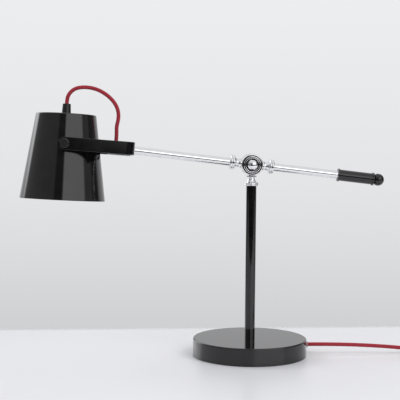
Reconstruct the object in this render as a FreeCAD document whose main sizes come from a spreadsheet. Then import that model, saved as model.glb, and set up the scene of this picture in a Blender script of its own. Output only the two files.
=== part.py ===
# Counterweight desk lamp with a conical shade, in millimetres.
#
# Frame: origin at the centre of the base's underside, +Z up the post. The arm lies in the
# XZ plane, with the shade towards -X and the counterweight towards +X.
# The pose is the lamp in use: the arm is raised a little at the shade's end, the fork is
# rolled a few degrees on the rod, and the shade hangs almost upright in it.

import FreeCAD, Part
import math
import os
import re
import Sketcher

V = FreeCAD.Vector
Placement = FreeCAD.Placement
Rotation = FreeCAD.Rotation
X_AXIS, Y_AXIS, Z_AXIS = V(1, 0, 0), V(0, 1, 0), V(0, 0, 1)

# ---------------------------------------------------------------- driving dimensions

SIZES = [
    # base
    ("base_diameter", 180.0, "outer diameter of the round base"),
    ("base_height", 28.0, "floor to the top of the base"),
    ("base_edge", 2.0, "radius of the base's top edge"),
    ("cover_wall", 1.5, "sheet of the base's cover"),
    ("cover_lift", 0.5, "floor to the cover's rim"),
    ("pad_thick", 2.0, "soft pad under the base"),
    ("pad_inset", 1.0, "cover's inside to the pad's edge"),
    ("plate_thick", 1.2, "closing plate above the pad"),
    ("weight_diameter", 150.0, "iron weight"),
    ("weight_thick", 15.0, "iron weight's slab"),
    ("leg_diameter", 14.0, "legs of the weight that carry the plate"),
    ("leg_circle", 116.0, "circle of the legs"),
    ("leg_count", 3.0, "legs of the weight, and plate screws"),
    ("well_diameter", 44.0, "well under the weight for the nut"),
    ("web_thick", 6.5, "iron left over the well"),
    ("channel_width", 12.0, "channel for the lead"),
    ("plate_screw", 4.0, "plate screws"),
    ("plate_screw_length", 8.0, "plate screws"),
    ("plate_screw_head", 1.6, "height of the plate screws' heads"),
    ("nipple_diameter", 10.0, "threaded tube that clamps base and post"),
    ("nipple_bore", 6.6, "bore of the threaded tubes"),
    ("nipple_rise", 12.0, "length of nipple inside the post"),
    ("nipple_tail", 7.0, "length of nipple under the web"),
    ("washer_diameter", 24.0, "washer under the web"),
    ("washer_thick", 1.5, "washer under the web"),
    ("nut_across", 14.0, "nut, across its flats"),
    ("nut_thick", 5.0, "nut"),
    ("terminal_length", 20.0, "terminal block"),
    ("terminal_width", 16.0, "terminal block"),
    ("terminal_height", 9.0, "terminal block"),
    # post and stem
    ("post_diameter", 16.0, "post"),
    ("post_wall", 1.2, "post's wall"),
    ("insert_length", 16.0, "plugs in the post's ends"),
    ("hub_height", 303.0, "height of the arm's pivot"),
    ("stem_height", 33.0, "post's top to the arm's pivot"),
    ("pin_diameter", 9.0, "stem's pin in the post"),
    ("pin_length", 18.5, "stem's pin in the post"),
    ("clip_diameter", 12.4, "clip that holds the pin"),
    ("clip_thick", 1.0, "clip that holds the pin"),
    ("clip_groove", 0.8, "depth of the clip's groove in the pin"),
    ("wire_bore", 4.6, "way for the wire through the stem"),
    ("wire_diameter", 3.2, "inner wire"),
    ("rim_radius", 10.2, "root of the beads on the trumpet rims"),
    ("bead_radius", 1.3, "beads of the stem's rim"),
    ("stem_rim", 4.8, "height of the stem's rim"),
    ("lip_radius", 8.6, "foot of a trumpet on its rim"),
    ("stem_waist", 5.2, "waist radius of the stem"),
    ("stem_waist_drop", 4.3, "stem's top to its waist"),
    ("flare_radius", 8.5, "stem's flare under the hub"),
    ("flare_edge", 1.0, "edge of the flares"),
    ("hub_gap", 0.5, "flare to the hub's drum"),
    # hub
    ("hub_diameter", 34.0, "drum of the arm's pivot"),
    ("hub_depth", 22.0, "drum, front to back"),
    ("hub_edge", 1.6, "radius of the drum's edges"),
    ("well_radius", 13.3, "hollow in the drum"),
    ("well_depth", 8.4, "hollow in the drum, front to back"),
    ("tongue_radius", 12.9, "stem's tongue in the drum"),
    ("tongue_thick", 6.4, "stem's tongue"),
    ("tongue_neck", 9.0, "width of the tongue's neck"),
    ("friction_radius", 11.0, "friction washers"),
    ("ring_groove", 1.0, "depth of the groove round the hub knob"),
    ("ring_inner", 8.3, "groove round the hub knob, inner radius"),
    ("ring_outer", 9.6, "groove round the hub knob, outer radius"),
    ("bolt_diameter", 6.0, "hub bolt"),
    ("hub_knob_diameter", 15.4, "hub knob"),
    ("hub_knob_height", 7.0, "hub knob"),
    ("hub_knob_dome", 3.4, "rise of the hub knob's dome"),
    ("hub_knob_edge", 0.6, "bevel round the hub knob's foot"),
    ("cap_nut_diameter", 12.0, "cap nut behind the hub"),
    ("cap_nut_height", 6.0, "cap nut behind the hub"),
    # arm
    ("arm_pitch", 6.6, "rise of the arm towards the shade"),
    ("arm_swing", 28.0, "swing of the arm above and below level"),
    ("spigot_diameter", 8.0, "collars' spigots in the drum"),
    ("collar_waist", 6.3, "waist radius of the collars"),
    ("collar_flare", 7.6, "flare radius of the collars at the drum"),
    ("collar_waist_reach", 22.5, "pivot to the collars' waist"),
    ("collar_rim_reach", 27.4, "pivot to the collars' rims"),
    ("collar_bead", 1.9, "beads of the collars' rims"),
    ("collar_rim", 7.2, "length of the collars' rims"),
    ("rod_diameter", 12.5, "rods of the arm"),
    ("rod_wall", 1.2, "rods' wall"),
    ("rod_overlap", 22.0, "length of rod inside the fork's block"),
    ("fork_reach", 187.0, "pivot to the fork's crossbar"),
    ("counter_reach", 137.8, "pivot to the counterweight"),
    ("counter_length", 58.0, "counterweight"),
    ("counter_diameter", 17.8, "counterweight"),
    ("counter_flange", 20.4, "counterweight's flanges"),
    ("counter_flange_thick", 2.4, "counterweight's flanges"),
    ("ball_diameter", 19.2, "ball at the arm's end"),
    ("ball_neck", 6.0, "radius of the flat where the ball meets the counterweight"),
    ("stud_length", 12.0, "ball's stud in the rod"),
    ("grub_diameter", 4.0, "grub screws"),
    ("grub_length", 2.4, "counterweight's grub screw"),
    ("socket_radius", 0.8, "sockets in the grub screws' ends"),
    ("socket_depth", 0.6, "sockets in the grub screws' ends"),
    # fork
    ("fork_droop", 2.4, "fork's bars lie flatter than the rod by this"),
    ("fork_roll", -3.6, "fork turned on the rod, top away"),
    ("fork_gap", 120.0, "between the prongs"),
    ("fork_bar", 4.5, "thickness of the fork's strip"),
    ("fork_height", 19.6, "height of the fork's strip"),
    ("fork_bend", 9.0, "inner radius of the fork's bends"),
    ("fork_rise", 1.3, "middle of the strip above the rod's axis"),
    ("pivot_reach", 106.0, "crossbar's outer face to the shade's pivot"),
    ("prong_round", 9.6, "radius of the prongs' ends"),
    ("block_length", 36.0, "block in the fork"),
    ("block_width", 30.0, "block in the fork"),
    ("block_height", 18.0, "block in the fork"),
    ("block_edge", 1.5, "radius of the block's long edges"),
    ("block_screw_offset", 10.8, "block screws from the middle"),
    ("block_screw_length", 12.0, "block screws"),
    ("block_screw_head", 6.8, "diameter of the block screws' heads"),
    ("block_screw_side", 0.8, "straight side of the block screws' heads"),
    ("block_screw_dome", 1.2, "rise of the block screws' heads"),
    ("entry_reach", 27.5, "crossbar's outer face to the jumper's entry"),
    ("bush_diameter", 10.4, "bush where the jumper enters"),
    ("bush_flange", 3.0, "bush, above the block"),
    ("bush_spigot", 8.0, "bush, in the block"),
    ("bush_depth", 5.0, "bush, in the block"),
    ("bush_edge", 0.8, "rounded edge of the bush and the gland"),
    # shade
    ("shade_lean", -1.5, "shade's axis against the fork's"),
    ("shade_top_radius", 46.4, "shade's closed top"),
    ("shade_mouth_radius", 66.0, "shade's mouth"),
    ("shade_above", 46.4, "pivot to the shade's top"),
    ("shade_below", 85.7, "pivot to the shade's mouth"),
    ("shade_wall", 1.2, "shade's sheet"),
    ("shade_edge", 1.8, "radius of the shade's top edge"),
    ("boss_diameter", 13.0, "pivot bosses on the shade"),
    ("boss_gap", 1.0, "boss to prong, where the washer sits"),
    ("washer_gap", 0.1, "pivot washer to the prong"),
    ("boss_screw_head", 9.0, "head of the screw inside the shade"),
    ("boss_screw_head_thick", 2.0, "head of the screw inside the shade"),
    ("boss_screw_set", 0.675, "head of the screw off the shade's sheet at the pivot"),
    ("boss_screw_reach", 3.6, "boss screw, length past the shade's sheet"),
    ("thumb_diameter", 15.2, "thumb knobs"),
    ("thumb_height", 9.0, "thumb knobs"),
    ("thumb_edge", 1.6, "radius of the thumb knobs' edge"),
    ("thumb_collar", 1.2, "shoulder between prong and thumb knob"),
    ("thumb_stud", 5.0, "thumb knobs' studs"),
    ("thumb_stud_reach", 3.2, "stud past the prong's inner face"),
    ("thumb_flutes", 18.0, "flutes round a thumb knob"),
    ("flute_radius", 0.9, "flutes round a thumb knob"),
    # shade's fittings
    ("grip_top", 12.6, "cord grip, top diameter"),
    ("grip_foot", 14.3, "cord grip, foot diameter"),
    ("grip_height", 16.3, "cord grip"),
    ("grip_edge", 1.0, "rounded edge of the cord grip's top"),
    ("grip_screw_rise", 11.5, "clamp screw above the grip's foot"),
    ("grip_screw_length", 3.4, "clamp screw"),
    ("grip_screw_sunk", 0.4, "clamp screw's face under the grip's side"),
    ("shade_nipple_up", 6.0, "nipple above the shade's top"),
    ("shade_nipple_down", 13.0, "nipple under the shade's top"),
    ("lock_nut_thick", 4.0, "nut under the shade's top"),
    ("holder_diameter", 28.0, "lampholder"),
    ("holder_wall", 2.0, "lampholder's wall"),
    ("holder_cap_height", 16.0, "lampholder's dome"),
    ("holder_neck", 8.0, "radius of the lampholder's neck"),
    ("holder_length", 32.0, "lampholder's barrel"),
    ("holder_ring", 31.0, "lampholder's skirt ring, diameter"),
    ("holder_ring_height", 5.0, "lampholder's skirt ring"),
    ("contact_thick", 3.0, "insulator under the dome"),
    ("bulb_cap_diameter", 14.0, "bulb's screw cap"),
    ("bulb_cap_length", 24.0, "bulb's screw cap"),
    ("bulb_diameter", 45.0, "bulb"),
    ("bulb_length", 50.0, "bulb's glass"),
    # supply lead, its switch and its plug
    ("cord_diameter", 6.0, "red lead and jumper"),
    ("jumper_rise", 8.6, "jumper's straight length out of the grip"),
    ("jumper_drop", 11.6, "jumper's straight length above the bush"),
    ("lead_straight", 16.0, "lead's straight length out of the gland"),
    ("gland_flange", 11.0, "clear gland in the base"),
    ("gland_flange_thick", 2.8, "clear gland in the base"),
    ("gland_body", 8.4, "clear gland in the base"),
    ("gland_length", 6.0, "gland inside the flange"),
    ("lead_height", 16.5, "height of the lead at the gland"),
    ("switch_length", 60.0, "inline switch"),
    ("switch_width", 28.0, "inline switch"),
    ("switch_height", 18.0, "inline switch"),
    ("switch_wall", 1.6, "inline switch's shells"),
    ("switch_rib", 1.0, "plastic left round the switch's screws"),
    ("switch_corner", 8.0, "inline switch's corners, seen from above"),
    ("switch_edge", 2.0, "inline switch's rounded edges"),
    ("switch_screw", 3.0, "screws of the inline switch"),
    ("switch_screw_length", 12.0, "screws of the inline switch"),
    ("switch_screw_offset", 22.0, "screws from the switch's middle"),
    ("rocker_length", 18.0, "switch rocker"),
    ("rocker_width", 10.0, "switch rocker"),
    ("rocker_height", 5.0, "switch rocker"),
    ("rocker_slant", 1.2, "slant of the rocker's ends"),
    ("rocker_dip", 0.6, "hollow in the rocker's top"),
    ("rocker_axle_radius", 1.5, "rocker's axle"),
    ("rocker_axle_end", 1.0, "axle past the opening on each side"),
    ("rocker_angle", 6.0, "rocker either side of level"),
    ("rocker_proud", 1.6, "rocker above the switch's shell, at its middle"),
    ("turn_pitch", 6.5, "from one turn of the coil to the next, and from layer to layer"),
    ("coil_outer", 46.75, "first half turn of the coil, at the cord's middle"),
    ("coil_turns_in", 7, "half turns of the coil's lower layer"),
    ("coil_turns_out", 5, "half turns of the coil's upper layer"),
    ("plug_width", 35.0, "plug's body"),
    ("plug_height", 14.0, "plug's body"),
    ("plug_length", 36.0, "plug's body"),
    ("plug_taper", 12.0, "length of the plug's narrowing end"),
    ("plug_straight", 6.0, "straight length of the plug's sides"),
    ("plug_tail", 15.0, "width of the plug's narrow end"),
    ("plug_face", 25.0, "width of the plug's face"),
    ("plug_corner", 4.0, "radius of the plug's edges"),
    ("pin_spacing", 18.6, "between the plug's pins"),
    ("plug_pin_diameter", 4.0, "plug's pins"),
    ("plug_pin_length", 19.0, "plug's pins"),
    ("plug_pin_root", 8.0, "pin inside the plug"),
    ("plug_pin_edge", 1.0, "rounded tips of the plug's pins"),
    ("boot_length", 20.0, "plug's strain relief"),
    ("boot_wide", 11.0, "strain relief at the plug"),
    ("boot_narrow", 7.6, "strain relief at the cord"),
    ("boot_edge", 1.0, "rounded end of the strain relief, and its root in the plug"),
    # fits
    ("running", 0.05, "radial clearance of what turns in a bore"),
    ("slip", 0.1, "radial clearance of what sits in a bore"),
    ("free", 0.3, "clearance of what must not touch"),
]

doc = FreeCAD.newDocument("balance_lamp")
sheet = doc.addObject("Spreadsheet::Sheet", "sizes")
for row, (alias, number, meaning) in enumerate(SIZES, start=1):
    sheet.set("A%d" % row, meaning)
    sheet.set("B%d" % row, str(number))
    sheet.setAlias("B%d" % row, alias)
doc.recompute()
ALIASES = {alias for alias, number, meaning in SIZES}


def size(expression):
    """Value of an expression written with the sheet's names."""
    return float(sheet.evalExpression(expression))


def from_sheet(expression):
    """The same expression, as another object has to write it."""
    return re.sub(r"[a-z][a-z_]*", lambda word: "sizes." + word.group()
                  if word.group() in ALIASES else word.group(), expression)


def bind(owner, prop, expression):
    owner.setExpression(prop, from_sheet(expression))


# ---------------------------------------------------------------- drawing helpers

def origin_plane(body, role):
    return [feature for feature in body.Origin.OriginFeatures if feature.Role == role][0]


def new_body(label):
    body = doc.addObject("PartDesign::Body", label)
    body.Label = label
    return body


def new_sketch(body, name, role="XY_Plane"):
    sketch = body.newObject("Sketcher::SketchObject", name)
    sketch.AttachmentSupport = [(origin_plane(body, role), "")]
    sketch.MapMode = "FlatFace"
    return sketch


def add_constraint(sketch, expression, *constraint):
    index = sketch.addConstraint(Sketcher.Constraint(*constraint))
    bind(sketch, "Constraints[%d]" % index, expression)


def draw_outline(sketch, corners):
    """Closed outline through corners (across, up[, radius]), each an expression.

    A radius turns the edge that follows the corner into an arc: positive bulges to the
    right of the direction of travel, negative to the left.
    """
    points = [V(size(corner[0]), size(corner[1]), 0) for corner in corners]
    ends = []
    first = sketch.GeometryCount
    for number, corner in enumerate(corners):
        start = points[number]
        end = points[(number + 1) % len(points)]
        if len(corner) == 2:
            sketch.addGeometry(Part.LineSegment(start, end))
            ends.append((1, 2))
            continue
        radius = size(corner[2])
        chord = end - start
        left = V(-chord.y, chord.x, 0).normalize()
        reach = math.sqrt(max(radius * radius - chord.Length ** 2 / 4, 0.0))
        centre = (start + end) * 0.5 + left * math.copysign(reach, radius)
        angles = [math.atan2(point.y - centre.y, point.x - centre.x) for point in (start, end)]
        circle = Part.Circle(centre, Z_AXIS, abs(radius))
        if radius > 0:
            sketch.addGeometry(Part.ArcOfCircle(circle, angles[0], angles[1]))
            ends.append((1, 2))
        else:
            sketch.addGeometry(Part.ArcOfCircle(circle, angles[1], angles[0]))
            ends.append((2, 1))
    for number, corner in enumerate(corners):
        edge = first + number
        following = first + (number + 1) % len(corners)
        sketch.addConstraint(Sketcher.Constraint(
            "Coincident", edge, ends[number][1], following, ends[(number + 1) % len(corners)][0]))
        add_constraint(sketch, corner[0], "DistanceX", -1, 1, edge, ends[number][0], points[number].x)
        add_constraint(sketch, corner[1], "DistanceY", -1, 1, edge, ends[number][0], points[number].y)
        if len(corner) == 3:
            radius = corner[2].lstrip("-")
            add_constraint(sketch, radius, "Radius", edge, size(radius))


def draw_circle(sketch, across, up, radius):
    edge = sketch.addGeometry(Part.Circle(V(size(across), size(up), 0), Z_AXIS, size(radius)))
    add_constraint(sketch, across, "DistanceX", -1, 1, edge, 3, size(across))
    add_constraint(sketch, up, "DistanceY", -1, 1, edge, 3, size(up))
    add_constraint(sketch, radius, "Radius", edge, size(radius))


def box_corners(left, right, low, high):
    return [(left, low), (right, low), (right, high), (left, high)]


def dome(half, rise):
    """Radius of a dome of this rise over a disc of this half width."""
    return "((%s) * (%s) + (%s) * (%s)) / 2 / (%s)" % (half, half, rise, rise, rise)


def revolve(body, name, corners, axis="V_Axis"):
    """Turn an outline in the body's XZ plane about its Z axis, or its X axis (H_Axis)."""
    sketch = new_sketch(body, name + "_outline", "XZ_Plane")
    draw_outline(sketch, corners)
    turned = body.newObject("PartDesign::Revolution", name)
    turned.Profile = sketch
    turned.ReferenceAxis = (sketch, [axis])
    turned.Angle = 360
    return turned


def turned_body(label, corners):
    body = new_body(label)
    revolve(body, label + "_turned", corners)
    return body


def pad(body, name, role, draw, length, both_ways=False, backwards=False):
    sketch = new_sketch(body, name + "_sketch", role)
    draw(sketch)
    feature = body.newObject("PartDesign::Pad", name)
    feature.Profile = sketch
    feature.Midplane = both_ways
    feature.Reversed = backwards
    bind(feature, "Length", length)
    return feature


def pocket(body, name, role, draw, length, both_ways=False, backwards=False):
    sketch = new_sketch(body, name + "_sketch", role)
    draw(sketch)
    feature = body.newObject("PartDesign::Pocket", name)
    feature.Profile = sketch
    feature.Midplane = both_ways
    feature.Reversed = backwards
    bind(feature, "Length", length)
    return feature


def around(body, name, features, count):
    """Repeat features evenly round the body's Z axis."""
    pattern = body.newObject("PartDesign::PolarPattern", name)
    pattern.Originals = features
    pattern.Axis = (origin_plane(body, "Z_Axis"), [""])
    pattern.Angle = 360
    bind(pattern, "Occurrences", count)
    body.Tip = pattern
    return pattern


def fillet_edges(body, name, radius, chosen):
    """Round the edges of the body's last feature for which chosen(edge) is true."""
    doc.recompute()
    base = body.Tip
    names = ["Edge%d" % (number + 1) for number, edge in enumerate(base.Shape.Edges) if chosen(edge)]
    feature = body.newObject("PartDesign::Fillet", name)
    feature.Base = (base, names)
    bind(feature, "Radius", radius)
    return feature


def along(edge, axis):
    """True for a straight edge parallel to the axis."""
    run = edge.Vertexes[-1].Point - edge.Vertexes[0].Point
    return run.Length > 1e-6 and abs(abs(run.normalize().dot(axis)) - 1) < 1e-6


def hexagon(sketch, across):
    corner = "%s / 2 / cos(30)" % across
    turns = [60 * step for step in range(6)]
    draw_outline(sketch, [("(%s) * cos(%d)" % (corner, turn), "(%s) * sin(%d)" % (corner, turn))
                          for turn in turns])


def together(label, solids):
    """Several like solids kept as one sub-part."""
    group = doc.addObject("Part::Compound", label)
    group.Label = label
    group.Links = solids
    return group


def arc_path(points):
    """Straight runs joined by tangent arcs, each as large as its two runs allow."""
    edges = []
    radii = []
    start = points[0]
    for before, corner, after in zip(points, points[1:], points[2:]):
        arriving = (corner - before).normalize()
        leaving = (after - corner).normalize()
        half_turn = arriving.getAngle(leaving) / 2
        cut = 0.45 * min((corner - before).Length, (after - corner).Length)
        radius = cut / math.tan(half_turn)
        radii.append(radius)
        entry = corner - arriving * cut
        leave = corner + leaving * cut
        inward = (leaving - arriving).normalize()
        middle = corner + inward * (radius / math.cos(half_turn) - radius)
        edges.append(Part.LineSegment(start, entry).toShape())
        edges.append(Part.Arc(entry, middle, leave).toShape())
        start = leave
    edges.append(Part.LineSegment(start, points[-1]).toShape())
    return edges, radii


def tube(label, edges, diameter):
    """Round tube along a chain of tangent edges."""
    path = Part.Wire(edges)
    start = edges[0].valueAt(edges[0].FirstParameter)
    heading = edges[0].tangentAt(edges[0].FirstParameter)
    section = Part.Wire([Part.Circle(start, heading, diameter / 2).toShape()])
    solid = path.makePipeShell([section], True, False)
    if solid.Volume < 0:
        solid.reverse()
    expected = math.pi * diameter * diameter / 4 * path.Length
    print("%s: length %.1f, volume against section times length %.4f"
          % (label, path.Length, solid.Volume / expected))
    feature = doc.addObject("Part::Feature", label)
    feature.Label = label
    feature.Shape = solid
    return feature


def cord(label, points, diameter):
    edges, radii = arc_path(points)
    print("%s: radii %s" % (label, ", ".join("%.0f" % radius for radius in radii)))
    return tube(label, edges, diameter)


# ---------------------------------------------------------------- frames of the moving groups

# Each group's frame sits at its pivot: the arm's at the hub, the fork's on the rod where the
# crossbar's outer face is, and the shade's on the line through the two thumb knobs.
ROW = Placement()
ARM = Placement(V(0, 0, size("hub_height")), Rotation(Y_AXIS, size("arm_pitch")))
ROLLED = ARM * Placement(V(-size("fork_reach"), 0, 0), Rotation(X_AXIS, size("fork_roll")))
FORK = ROLLED * Placement(V(0, 0, 0), Rotation(Y_AXIS, -size("fork_droop")))
SHADE = FORK * Placement(V(-size("pivot_reach"), 0, size("fork_rise")),
                         Rotation(Y_AXIS, size("shade_lean")))
TO_FRONT = Rotation(X_AXIS, 90)
TO_BACK = Rotation(Z_AXIS, 180) * TO_FRONT
TO_LEFT = Rotation(Y_AXIS, -90)
TO_RIGHT = Rotation(Y_AXIS, 90)
UPRIGHT = Rotation()

sub_parts = []


def place(sub_part, frame, x=0.0, y=0.0, z=0.0, turn=UPRIGHT):
    sub_part.Placement = frame * Placement(V(x, y, z), turn)
    sub_parts.append(sub_part)
    return sub_part


# ---------------------------------------------------------------- base

def base_cover():
    """Spun steel cover: flat top, rounded edge, open underneath."""
    body = turned_body("base_cover", [
        ("nipple_diameter / 2 + slip", "base_height"),
        ("nipple_diameter / 2 + slip", "base_height - cover_wall"),
        ("base_diameter / 2 - base_edge", "base_height - cover_wall", "base_edge - cover_wall"),
        ("base_diameter / 2 - cover_wall", "base_height - base_edge"),
        ("base_diameter / 2 - cover_wall", "cover_lift"),
        ("base_diameter / 2", "cover_lift"),
        ("base_diameter / 2", "base_height - base_edge", "base_edge"),
        ("base_diameter / 2 - base_edge", "base_height"),
    ])
    pocket(body, "gland_hole", "YZ_Plane",
           lambda sketch: draw_circle(sketch, "0", "lead_height", "gland_body / 2 + slip"),
           "base_diameter", backwards=True)
    return place(body, ROW)


def base_weight():
    """Iron slab under the cover's top, with a well, a channel for the lead and three legs."""
    top = "(base_height - cover_wall)"
    floor = "(base_height - cover_wall - weight_thick)"
    foot = "(pad_thick + plate_thick)"
    body = turned_body("base_weight", [
        ("nipple_diameter / 2 + slip", top),
        ("nipple_diameter / 2 + slip", top + " - web_thick"),
        ("well_diameter / 2", top + " - web_thick"),
        ("well_diameter / 2", floor),
        ("weight_diameter / 2", floor),
        ("weight_diameter / 2", top),
    ])
    pocket(body, "channel", "YZ_Plane",
           lambda sketch: draw_outline(sketch, box_corners(
               "-channel_width / 2", "channel_width / 2", "0", top + " - web_thick")),
           "base_diameter", backwards=True)
    legs = new_sketch(body, "leg_outline")
    legs.AttachmentOffset = Placement(V(0, 0, size(foot)), UPRIGHT)
    bind(legs, "AttachmentOffset.Base.z", foot)
    draw_circle(legs, "-leg_circle / 2", "0", "leg_diameter / 2")
    leg = body.newObject("PartDesign::Pad", "leg")
    leg.Profile = legs
    bind(leg, "Length", "%s - %s + web_thick / 2" % (floor, foot))
    around(body, "legs", [leg], "leg_count")
    hole = pocket(body, "leg_hole", "XY_Plane",
                  lambda sketch: draw_circle(sketch, "-leg_circle / 2", "0", "plate_screw / 2 + slip"),
                  "pad_thick + plate_screw_length + 1", backwards=True)
    around(body, "leg_holes", [hole], "leg_count")
    return place(body, ROW)


def base_plate():
    """Steel closing plate inside the cover's rim, screwed to the weight's legs."""
    body = turned_body("base_plate", [
        ("0", "pad_thick"),
        ("base_diameter / 2 - cover_wall - slip", "pad_thick"),
        ("base_diameter / 2 - cover_wall - slip", "pad_thick + plate_thick"),
        ("0", "pad_thick + plate_thick"),
    ])
    hole = pocket(body, "plate_hole", "XY_Plane",
                  lambda sketch: draw_circle(sketch, "-leg_circle / 2", "0", "plate_screw / 2 + slip"),
                  "pad_thick + plate_thick + 1", backwards=True)
    around(body, "plate_holes", [hole], "leg_count")
    return place(body, ROW)


def base_pad():
    """Soft pad that the lamp stands on, with reliefs for the screw heads."""
    body = turned_body("base_pad", [
        ("0", "0"),
        ("base_diameter / 2 - cover_wall - pad_inset", "0"),
        ("base_diameter / 2 - cover_wall - pad_inset", "pad_thick"),
        ("0", "pad_thick"),
    ])
    relief = pocket(body, "head_relief", "XY_Plane",
                    lambda sketch: draw_circle(sketch, "-leg_circle / 2", "0", "plate_screw + free"),
                    "pad_thick", backwards=True)
    around(body, "head_reliefs", [relief], "leg_count")
    return place(body, ROW)


def plate_screws():
    """Pan-head screws that hold the plate to the weight."""
    screws = []
    count = int(size("leg_count"))
    for number in range(count):
        screw = turned_body("plate_screw_%d" % (number + 1), [
            ("0", "0"),
            ("plate_screw * 0.9", "0", "plate_screw / 2"),
            ("plate_screw", "plate_screw_head * 0.75"),
            ("plate_screw", "plate_screw_head"),
            ("plate_screw / 2", "plate_screw_head"),
            ("plate_screw / 2", "plate_screw_head + plate_screw_length"),
            ("0", "plate_screw_head + plate_screw_length"),
        ])
        turn = Rotation(Z_AXIS, 180 + 360 * number / count)
        seat = turn.multVec(V(size("leg_circle / 2"), 0, size("pad_thick - plate_screw_head")))
        screw.Placement = Placement(seat, UPRIGHT)
        screws.append(screw)
    return place(together("plate_screws", screws), ROW)


def nipple_tube(label, low, high):
    return turned_body(label, [
        ("nipple_bore / 2", low),
        ("nipple_diameter / 2", low),
        ("nipple_diameter / 2", high),
        ("nipple_bore / 2", high),
    ])


def base_clamp():
    """Nipple, washer and nut that clamp the weight, the cover and the post together."""
    web = "(base_height - cover_wall - web_thick)"
    place(nipple_tube("post_nipple", web + " - nipple_tail", "base_height + nipple_rise"), ROW)
    washer = turned_body("base_washer", [
        ("nipple_diameter / 2 + slip", web + " - washer_thick"),
        ("washer_diameter / 2", web + " - washer_thick"),
        ("washer_diameter / 2", web),
        ("nipple_diameter / 2 + slip", web),
    ])
    place(washer, ROW)
    nut = new_body("base_nut")
    pad(nut, "nut_hexagon", "XY_Plane", lambda sketch: hexagon(sketch, "nut_across"), "nut_thick")
    pocket(nut, "nut_bore", "XY_Plane",
           lambda sketch: draw_circle(sketch, "0", "0", "nipple_diameter / 2 + slip"),
           "nut_thick", backwards=True)
    place(nut, ROW, z=size(web + " - washer_thick - nut_thick"))


def lead_entry():
    """Clear gland in the base's side, the lead's inner end and the terminal block."""
    gland = turned_body("lead_gland", [
        ("cord_diameter / 2 + slip", "-cover_wall - gland_length"),
        ("gland_body / 2", "-cover_wall - gland_length"),
        ("gland_body / 2", "0"),
        ("gland_flange / 2", "0"),
        ("gland_flange / 2", "gland_flange_thick - bush_edge", "bush_edge"),
        ("gland_flange / 2 - bush_edge", "gland_flange_thick"),
        ("cord_diameter / 2 + slip", "gland_flange_thick"),
    ])
    place(gland, ROW, size("base_diameter / 2"), 0, size("lead_height"), TO_RIGHT)
    block = new_body("terminal_block")
    pad(block, "terminal_case", "XY_Plane",
        lambda sketch: draw_outline(sketch, box_corners(
            "-terminal_length / 2", "terminal_length / 2", "-terminal_width / 2", "terminal_width / 2")),
        "terminal_height")
    fillet_edges(block, "terminal_corners", "block_edge", lambda edge: along(edge, Z_AXIS))
    place(block, ROW, z=size("pad_thick + plate_thick"))
    outer = size("base_diameter / 2 + gland_flange_thick")
    low = size("pad_thick + plate_thick + terminal_height / 2")
    level = size("lead_height")
    inner = cord("base_lead", [
        V(outer, 0, level), V(outer - 24, 0, level), V(outer - 44, 0, level - 4.5),
        V(outer - 66, 0, low), V(size("terminal_length / 2"), 0, low),
    ], size("cord_diameter"))
    place(inner, ROW)


# ---------------------------------------------------------------- post

def post():
    """Steel tube with a threaded plug brazed in its foot and a bearing plug in its top."""
    inner = "(post_diameter / 2 - post_wall)"
    rim = "(hub_height - stem_height)"
    tube_body = turned_body("post_tube", [
        ("nipple_diameter / 2 + slip", "base_height"),
        ("post_diameter / 2", "base_height"),
        ("post_diameter / 2", rim),
        (inner, rim),
        (inner, "base_height + insert_length"),
        ("nipple_diameter / 2 + slip", "base_height + insert_length"),
    ])
    place(tube_body, ROW)
    top = turned_body("post_top_plug", [
        ("pin_diameter / 2 + running", rim + " - insert_length"),
        (inner, rim + " - insert_length"),
        (inner, rim),
        ("pin_diameter / 2 + running", rim),
    ])
    place(top, ROW)
    wire = doc.addObject("Part::Cylinder", "post_wire")
    wire.Label = "post_wire"
    bind(wire, "Radius", "wire_diameter / 2")
    start = "(pad_thick + plate_thick + terminal_height)"
    bind(wire, "Height", "hub_height - tongue_radius / 2 - 2 * free - %s" % start)
    place(wire, ROW, z=size(start))


# ---------------------------------------------------------------- stem and hub

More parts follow.
